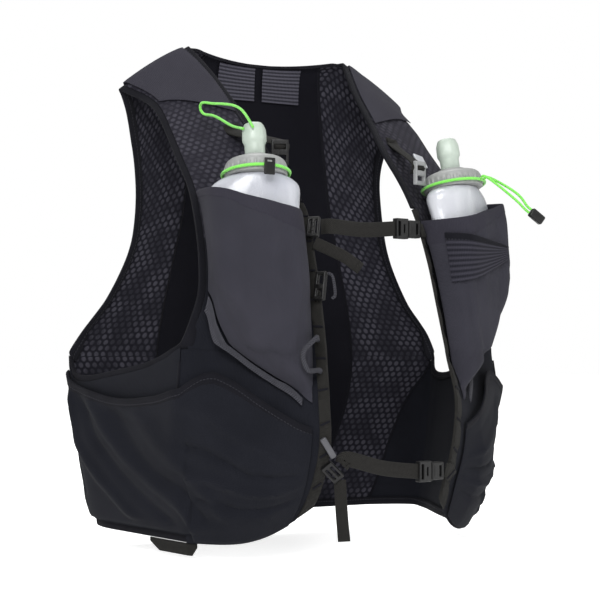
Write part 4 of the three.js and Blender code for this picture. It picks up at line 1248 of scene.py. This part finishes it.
def looped(path):
    """The loop's line. It turns back in a round bow, so it bends no tighter than two diameters."""
    points = [place(*p) for p in path]
    out, tip, back = points[:4], points[4], points[5:]
    ahead = ((out[3] - out[2]).normalized() + (back[0] - back[1]).normalized()).normalized()
    up = square(out[3] - back[0], ahead)
    centre = tip - ahead * BOW_RADIUS
    bow = [centre + (up * math.cos(a) + ahead * math.sin(a)) * BOW_RADIUS
           for a in (math.pi * k / 8 for k in range(9))]
    return relaxed(evenly(Curve(out).line(36) + bow + Curve(back).line(36), 96), BOW_PASSES)


def free_cord(name, line, node):
    obj = keep(rope(name, line, CORD_DIAMETER, CORD), "green_cord", node)


free_cord("cord_loop_look", looped(LOOP_PATH), "cord_loop")

CORD_END = place(0.796, -0.940, 0.424)
END_AXIS = Vector((1, -0.2, -0.75)).normalized()
end_up = square(UP, END_AXIS)
end_side = END_AXIS.cross(end_up)
grip = [rounded_box("grip", CORD_END, (END_AXIS, end_up, end_side), (13.6, 7.8, 5.6), BUCKLE, 1.6)]
for k in range(3):
    at = CORD_END + END_AXIS * (-1 + 2.6 * k) - end_side * 2.7
    grip.append(rounded_box("ridge", at, (END_AXIS, end_up, end_side), (1.0, 6, 0.8), BUCKLE, 0.3))
grip = keep_as("cord_end", "black_plastic", *grip)


def beside(angle, clear, height=3):
    radius = CAP_RADIUS + GAP + NECK_CORD + clear
    return round_flask(radius, math.radians(angle), CAP_FOOT + height)


for k, angle, offset in ((1, -80, 1.7), (2, -90, -1.7)):
    last = CORD_END - END_AXIS * (7 + 1.5 * GAP) + end_up * offset
    middle = beside(angle, GAP).lerp(last, 0.55) + Vector((2, -7, offset))
    path = [beside(angle, GAP), beside(angle, 6), middle, last - END_AXIS * 5, last]
    line = relaxed(Curve(path).line(48), CORD_PASSES)
    free_cord(f"flask_cord_{k}_look", line, f"flask_cord_{k}")


# Chest straps

ON_WEBBING = WEBBING_THICK + CLOTH / 2 + GAP
ADJUSTER_AT = -0.025
STRAPS = [
    ("upper", 1.287, 1.294, 4 * GAP, [(-0.165, 0.280, -5), (-0.085, 0.245, -6)], (-0.6, 0.8), 4.3, (1.6, -1)),
    ("lower", 0.225, 0.215, 11 * GAP, [(-0.247, -0.820, 0), (-0.235, -0.965, 0)], (-1, 0.1), 0.6, (0, 0)),
]


def ladder(name, at, axes, size, material, teeth=2):
    """A ladder adjuster: a frame with two slots and a ribbed middle bar."""
    length, height, depth = size
    slots = [(x, 0, length * 0.2, height * 0.68) for x in (-length * 0.22, length * 0.22)]
    parts = [rounded_box("frame", at, axes, size, material, 0.8, slots)]
    for k in range(teeth):
        y = (k + 0.5) / teeth * height * 0.62 - height * 0.31
        spot = Vector(at) + Vector(axes[1]).normalized() * y + Vector(axes[2]).normalized() * depth * 0.5
        parts.append(rounded_box("rib", spot, axes, (length * 0.2, 1.0, 0.7), material, 0.3))
    return join(name, *parts)


def hem_lump(t):
    return 1 + 0.8 * smooth(t, 0.86, 0.9)


for name, right, left, clear, tail, lean, under, nudge in STRAPS:
    anchor = [on_front(u, left, ON_WEBBING + STRAP_THICK / 2) for u in (0.045, 0.02, -0.01)]
    inward = Vector((-1, -0.16, 0)).normalized()
    anchor.append(anchor[2] + inward * 4)
    up = front_frame(0.02, left)[1]
    piece = tape(f"strap_anchor_{name}_look", Curve(anchor).line(24), up, STRAP_WIDTH, STRAP_THICK, WEBBING)
    stitch = rounded_box("tack", anchor[1] + front_frame(0.02, left)[2] * 1.0, front_frame(0.02, left),
                         (1.6, STRAP_WIDTH * 0.85, 0.7), BINDING, 0.3)
    keep_as(f"strap_anchor_{name}", "webbing", piece, stitch)
    socket = anchor[3] + inward * (clear + 6.25)
    tongue = socket + inward * (12.75 + GAP)
    out = inward.cross(UP)
    axes = (inward, UP, out)
    shell = rounded_box("shell", socket, axes, (12.5, BUCKLE_WIDTH * 0.85, BUCKLE_THICK * 1.1), BUCKLE, 1.7,
                        [(-2.8, 0, 2.4, 9)], 4)
    ridges = [rounded_box("ridge", socket + inward * 3.4 + out * y, axes, (1.2, 9, 0.8), BUCKLE, 0.35)
              for y in (-3.2, 3.2)]
    keep_as(f"buckle_socket_{name}", "black_plastic", shell, *ridges)
    hook = [rounded_box("hook", tongue, axes, (13, BUCKLE_WIDTH * 0.98, BUCKLE_THICK * 0.9), BUCKLE, 1.6,
                        [(3.2, 0, 2.6, 12), (-2.2, 0, 1.6, 7)], 4)]
    hook.append(rounded_box("bar", tongue + inward * 3.2 + out * 1.2, axes, (1.4, 13, 1.4), BUCKLE, 0.5))
    keep_as(f"buckle_tongue_{name}", "black_plastic", *hook)
    thick = BUCKLE_THICK * 0.7
    across, up, out = front_frame(ADJUSTER_AT, right)
    at = on_front(ADJUSTER_AT, right, ON_WEBBING + thick / 2)
    adjuster = ladder("adjuster", at, (across, up, out), (10, BUCKLE_WIDTH, thick), BUCKLE, 3)
    keep_right(adjuster, "black_plastic", f"strap_adjuster_{name}")
    start = tongue + inward * (6.5 + GAP)
    end = flip(at - across * (5 + clear))
    before = flip(at - across * 16)
    sag = start.lerp(before, 0.5) + Vector((0, 0, -2))
    web = Curve([start + inward * -3, sag, before, end]).line(60)
    strap = tape(f"chest_strap_{name}_look", web, UP, STRAP_WIDTH, STRAP_THICK, WEBBING)
    keep(strap, "webbing", f"chest_strap_{name}")
    hang = flip(at - up * (BUCKLE_WIDTH / 2 + GAP + under)) + Vector((nudge[0], nudge[1], 0))
    spots = [hang]
    for x, level, ahead in tail:
        p = place(x, 0, level)
        p.y = hang.y + ahead
        spots.append(p)
    slant = flip(across * lean[0] + up * lean[1])
    line = Curve(spots).line(40)
    loose = tape(f"strap_tail_{name}_look", line, slant, STRAP_WIDTH * 0.8, STRAP_THICK, WEBBING, hem_lump)
    keep(loose, "webbing", f"strap_tail_{name}")


# Small fittings

RETAINERS = [("left", (0.320, -0.649, 0.558), 0.22, 1.62), ("right", (0.372, -0.600, 0.596), 0.26, 1.63)]
for side, at, u, v in RETAINERS:
    foot = place(*at)
    behind = foot + Vector((-0.34, 0.94, 0)) * (1.75 + GAP + STRAP_THICK / 2)
    height = CLOTH + 1.8 * GAP + STRAP_THICK / 2
    web = [on_front(u, v, height), on_front(u, v - 0.03, height + 0.5), behind + UP * 8, behind]
    flat = Vector((0.94, 0.34, 0))
    webbing = tape("retainer", Curve(web).line(36), flat, 13, STRAP_THICK, WEBBING)
    moulded = GREY if side == "left" else BUCKLE
    holder = ladder("retainer_frame", foot, (UP, flat * -1, flat.cross(UP)), (20, 14, 3.5), moulded, 3)
    made = (webbing, "retainer_web", "webbing"), (holder, "retainer_buckle", "grey_plastic")
    for piece, node, slot in made:
        if side == "right":
            keep_right(piece, slot, f"{node}_right")
        else:
            piece.name = f"{node}_left_look"
            keep(piece, slot, f"{node}_left")


def block_on_front(name, u, v, height, size, *looks):
    return rounded_box(name, on_front(u, v, height), front_frame(u, v), size, *looks)


tab = block_on_front("reflective_tab_look", 0.55, 1.57, CLOTH + GAP + 1, (11, 15, 2), PALE, 0.8)
keep(tab, "reflective", "reflective_tab")
pull_side = (beside(-93, 0) - beside(-113, 0)).normalized()
pull_up = square(UP, pull_side)
pull = rounded_box("pull", beside(-103, GAP + 0.4, 1), (pull_side, pull_up, pull_side.cross(pull_up)),
                   (8.5, 13, 2.5), BUCKLE, 1.0, [(0, 4, 4.5, 1.6)])
keep_right(pull, "black_plastic", "flask_pull_tab")

POLE = [
    on_front(0.05, 1.02, ON_WEBBING), on_front(0.05, 1.02, ON_WEBBING + 4), place(0.388, -1.018, 0.034),
    place(0.452, -1.026, -0.013), place(0.431, -1.026, -0.097), on_front(0.05, 0.86, ON_WEBBING + 4),
    on_front(0.05, 0.86, ON_WEBBING),
]
keep_right(rope("pole", Curve(POLE).line(60), 4, ELASTIC), "elastic", "pole_loop")
clip = block_on_front("clip", ADJUSTER_AT, 1.145, ON_WEBBING + 2.25, (9, 23, 4.5), BUCKLE, 1.5,
                      [(0, 5, 4.2, 7), (0, -5.5, 4.2, 5)], 4)
keep_right(clip, "black_plastic", "accessory_clip")
CLIP = [(-0.101, 1.175, 5.5), (-0.130, 1.165, 6), (-0.130, 1.125, 6), (-0.101, 1.115, 5.5)]
clip_line = Curve([on_front(*p) for p in CLIP]).line(36)
keep_right(rope("clip_cord", clip_line, 2.4, ELASTIC), "elastic", "clip_loop")
toggle = block_on_front("toggle", 0.02, 0.41, ON_WEBBING + 1.75, (5, 18, 3.5), DIM, 1.4)
keep_right(toggle, "reflective", "edge_toggle")


# The tab under the right hem, with its pale line

def tab_row(i, j):
    q = mix(0.90, 1.20, j)
    ends = min(1, 4 * min(j + 0.08, 1.08 - j))
    high = hem_at(q) if q < 1 else mix(-DROP, -BACK_HEM, q - 1)
    p = lower_point(q, -DROP)
    p.z = high - GAP - i * 10 * ends
    return p


hem_tab = wall("tab", grid(10, 40, tab_row), 0, 1.6, WEBBING)
line_rows = [[tab_row(mix(0.36, 0.52, i), mix(0.12, 0.9, j / 40)) for j in range(41)] for i in (0, 0.5, 1)]
pale_line = wall("line", line_rows, 1.3, 1.75, PALE)
keep_right(join("tab_both", hem_tab, pale_line), "webbing", "hem_tab")


# Ribbed windows inside the neck and the ribbed stash pocket

def window_row(i, j):
    v = mix(1.74, 1.93, i)
    return back_point(mix(4, 4 + WINDOW_WIDTH, j) / back_point(1, v).x, v)


window = wall("neck_window_left_look", grid(16, 20, window_row), 3 * GAP, 3 * GAP + 0.9, RIBBED)
pair("neck_window", window, "ribbed_mesh", held="laid")


def stash_row(i, j):
    return pocket_point(mix(0.05, 0.76, j), mix(mix(1.165, 1.235, j ** 1.2), mix(1.290, 1.265, j), i))


stash_grid = raised(grid(14, 40, stash_row), lambda i, j: SKIN + 4 * GAP)
rim = folded_band("rim", even(list(zip(stash_grid[-1], stash_grid[-3])), 60), BINDING, low=0.0, high=1.4)
stash = join("stash_pocket_look", wall("stash", stash_grid, 0, 1, STASH), rim)
keep_sheet(stash, "ribbed_mesh", "stash_pocket")


# Stage and light

def area(name, at, size, power):
    light = bpy.data.lights.new(name, "AREA")
    light.energy, light.size = power, size
    obj = put(name, light)
    obj.location = at
    obj.rotation_euler = (AIM - obj.location).to_track_quat("-Z", "Y").to_euler()


FLOOR = -0.412
AIM = Vector((0, -0.06, -0.2))
area("key", (-1.5, -2.2, 1.3), 1.5, 88)
area("fill", (1.9, -1.7, 0.5), 1.8, 16)
area("top", (0.1, 0.5, 2.2), 1.6, 40)

world = bpy.data.worlds.new("world")
bpy.context.scene.world = world
world.use_nodes = True
sky = world.node_tree
sky.nodes["Background"].inputs[0].default_value = (1, 1, 1, 1)
# The studio looks white behind the object and lights it more softly
seen = sky.nodes.new("ShaderNodeLightPath")
level = sky.nodes.new("ShaderNodeMapRange")
level.inputs["To Min"].default_value = 0.5
level.inputs["To Max"].default_value = 1.0
sky.links.new(seen.outputs["Is Camera Ray"], level.inputs["Value"])
sky.links.new(level.outputs[0], sky.nodes["Background"].inputs[1])

floor_nodes = Nodes("pale_floor", 0.8, Emission_Color=(1, 1, 1, 1), Emission_Strength=0.62)
floor_tint = floor_nodes.blend(floor_nodes.noise(3, 2), rgb(240, 240, 240, 1), rgb(246, 246, 246, 1))
disc = bpy.data.meshes.new("floor")
rim = [(9 * math.cos(a), 9 * math.sin(a), FLOOR) for a in angles(64)]
disc.from_pydata(rim, [], [tuple(range(64))])
disc.materials.append(floor_nodes.done(floor_tint))
put("floor", disc)
bpy.context.scene.view_settings.view_transform = "Standard"
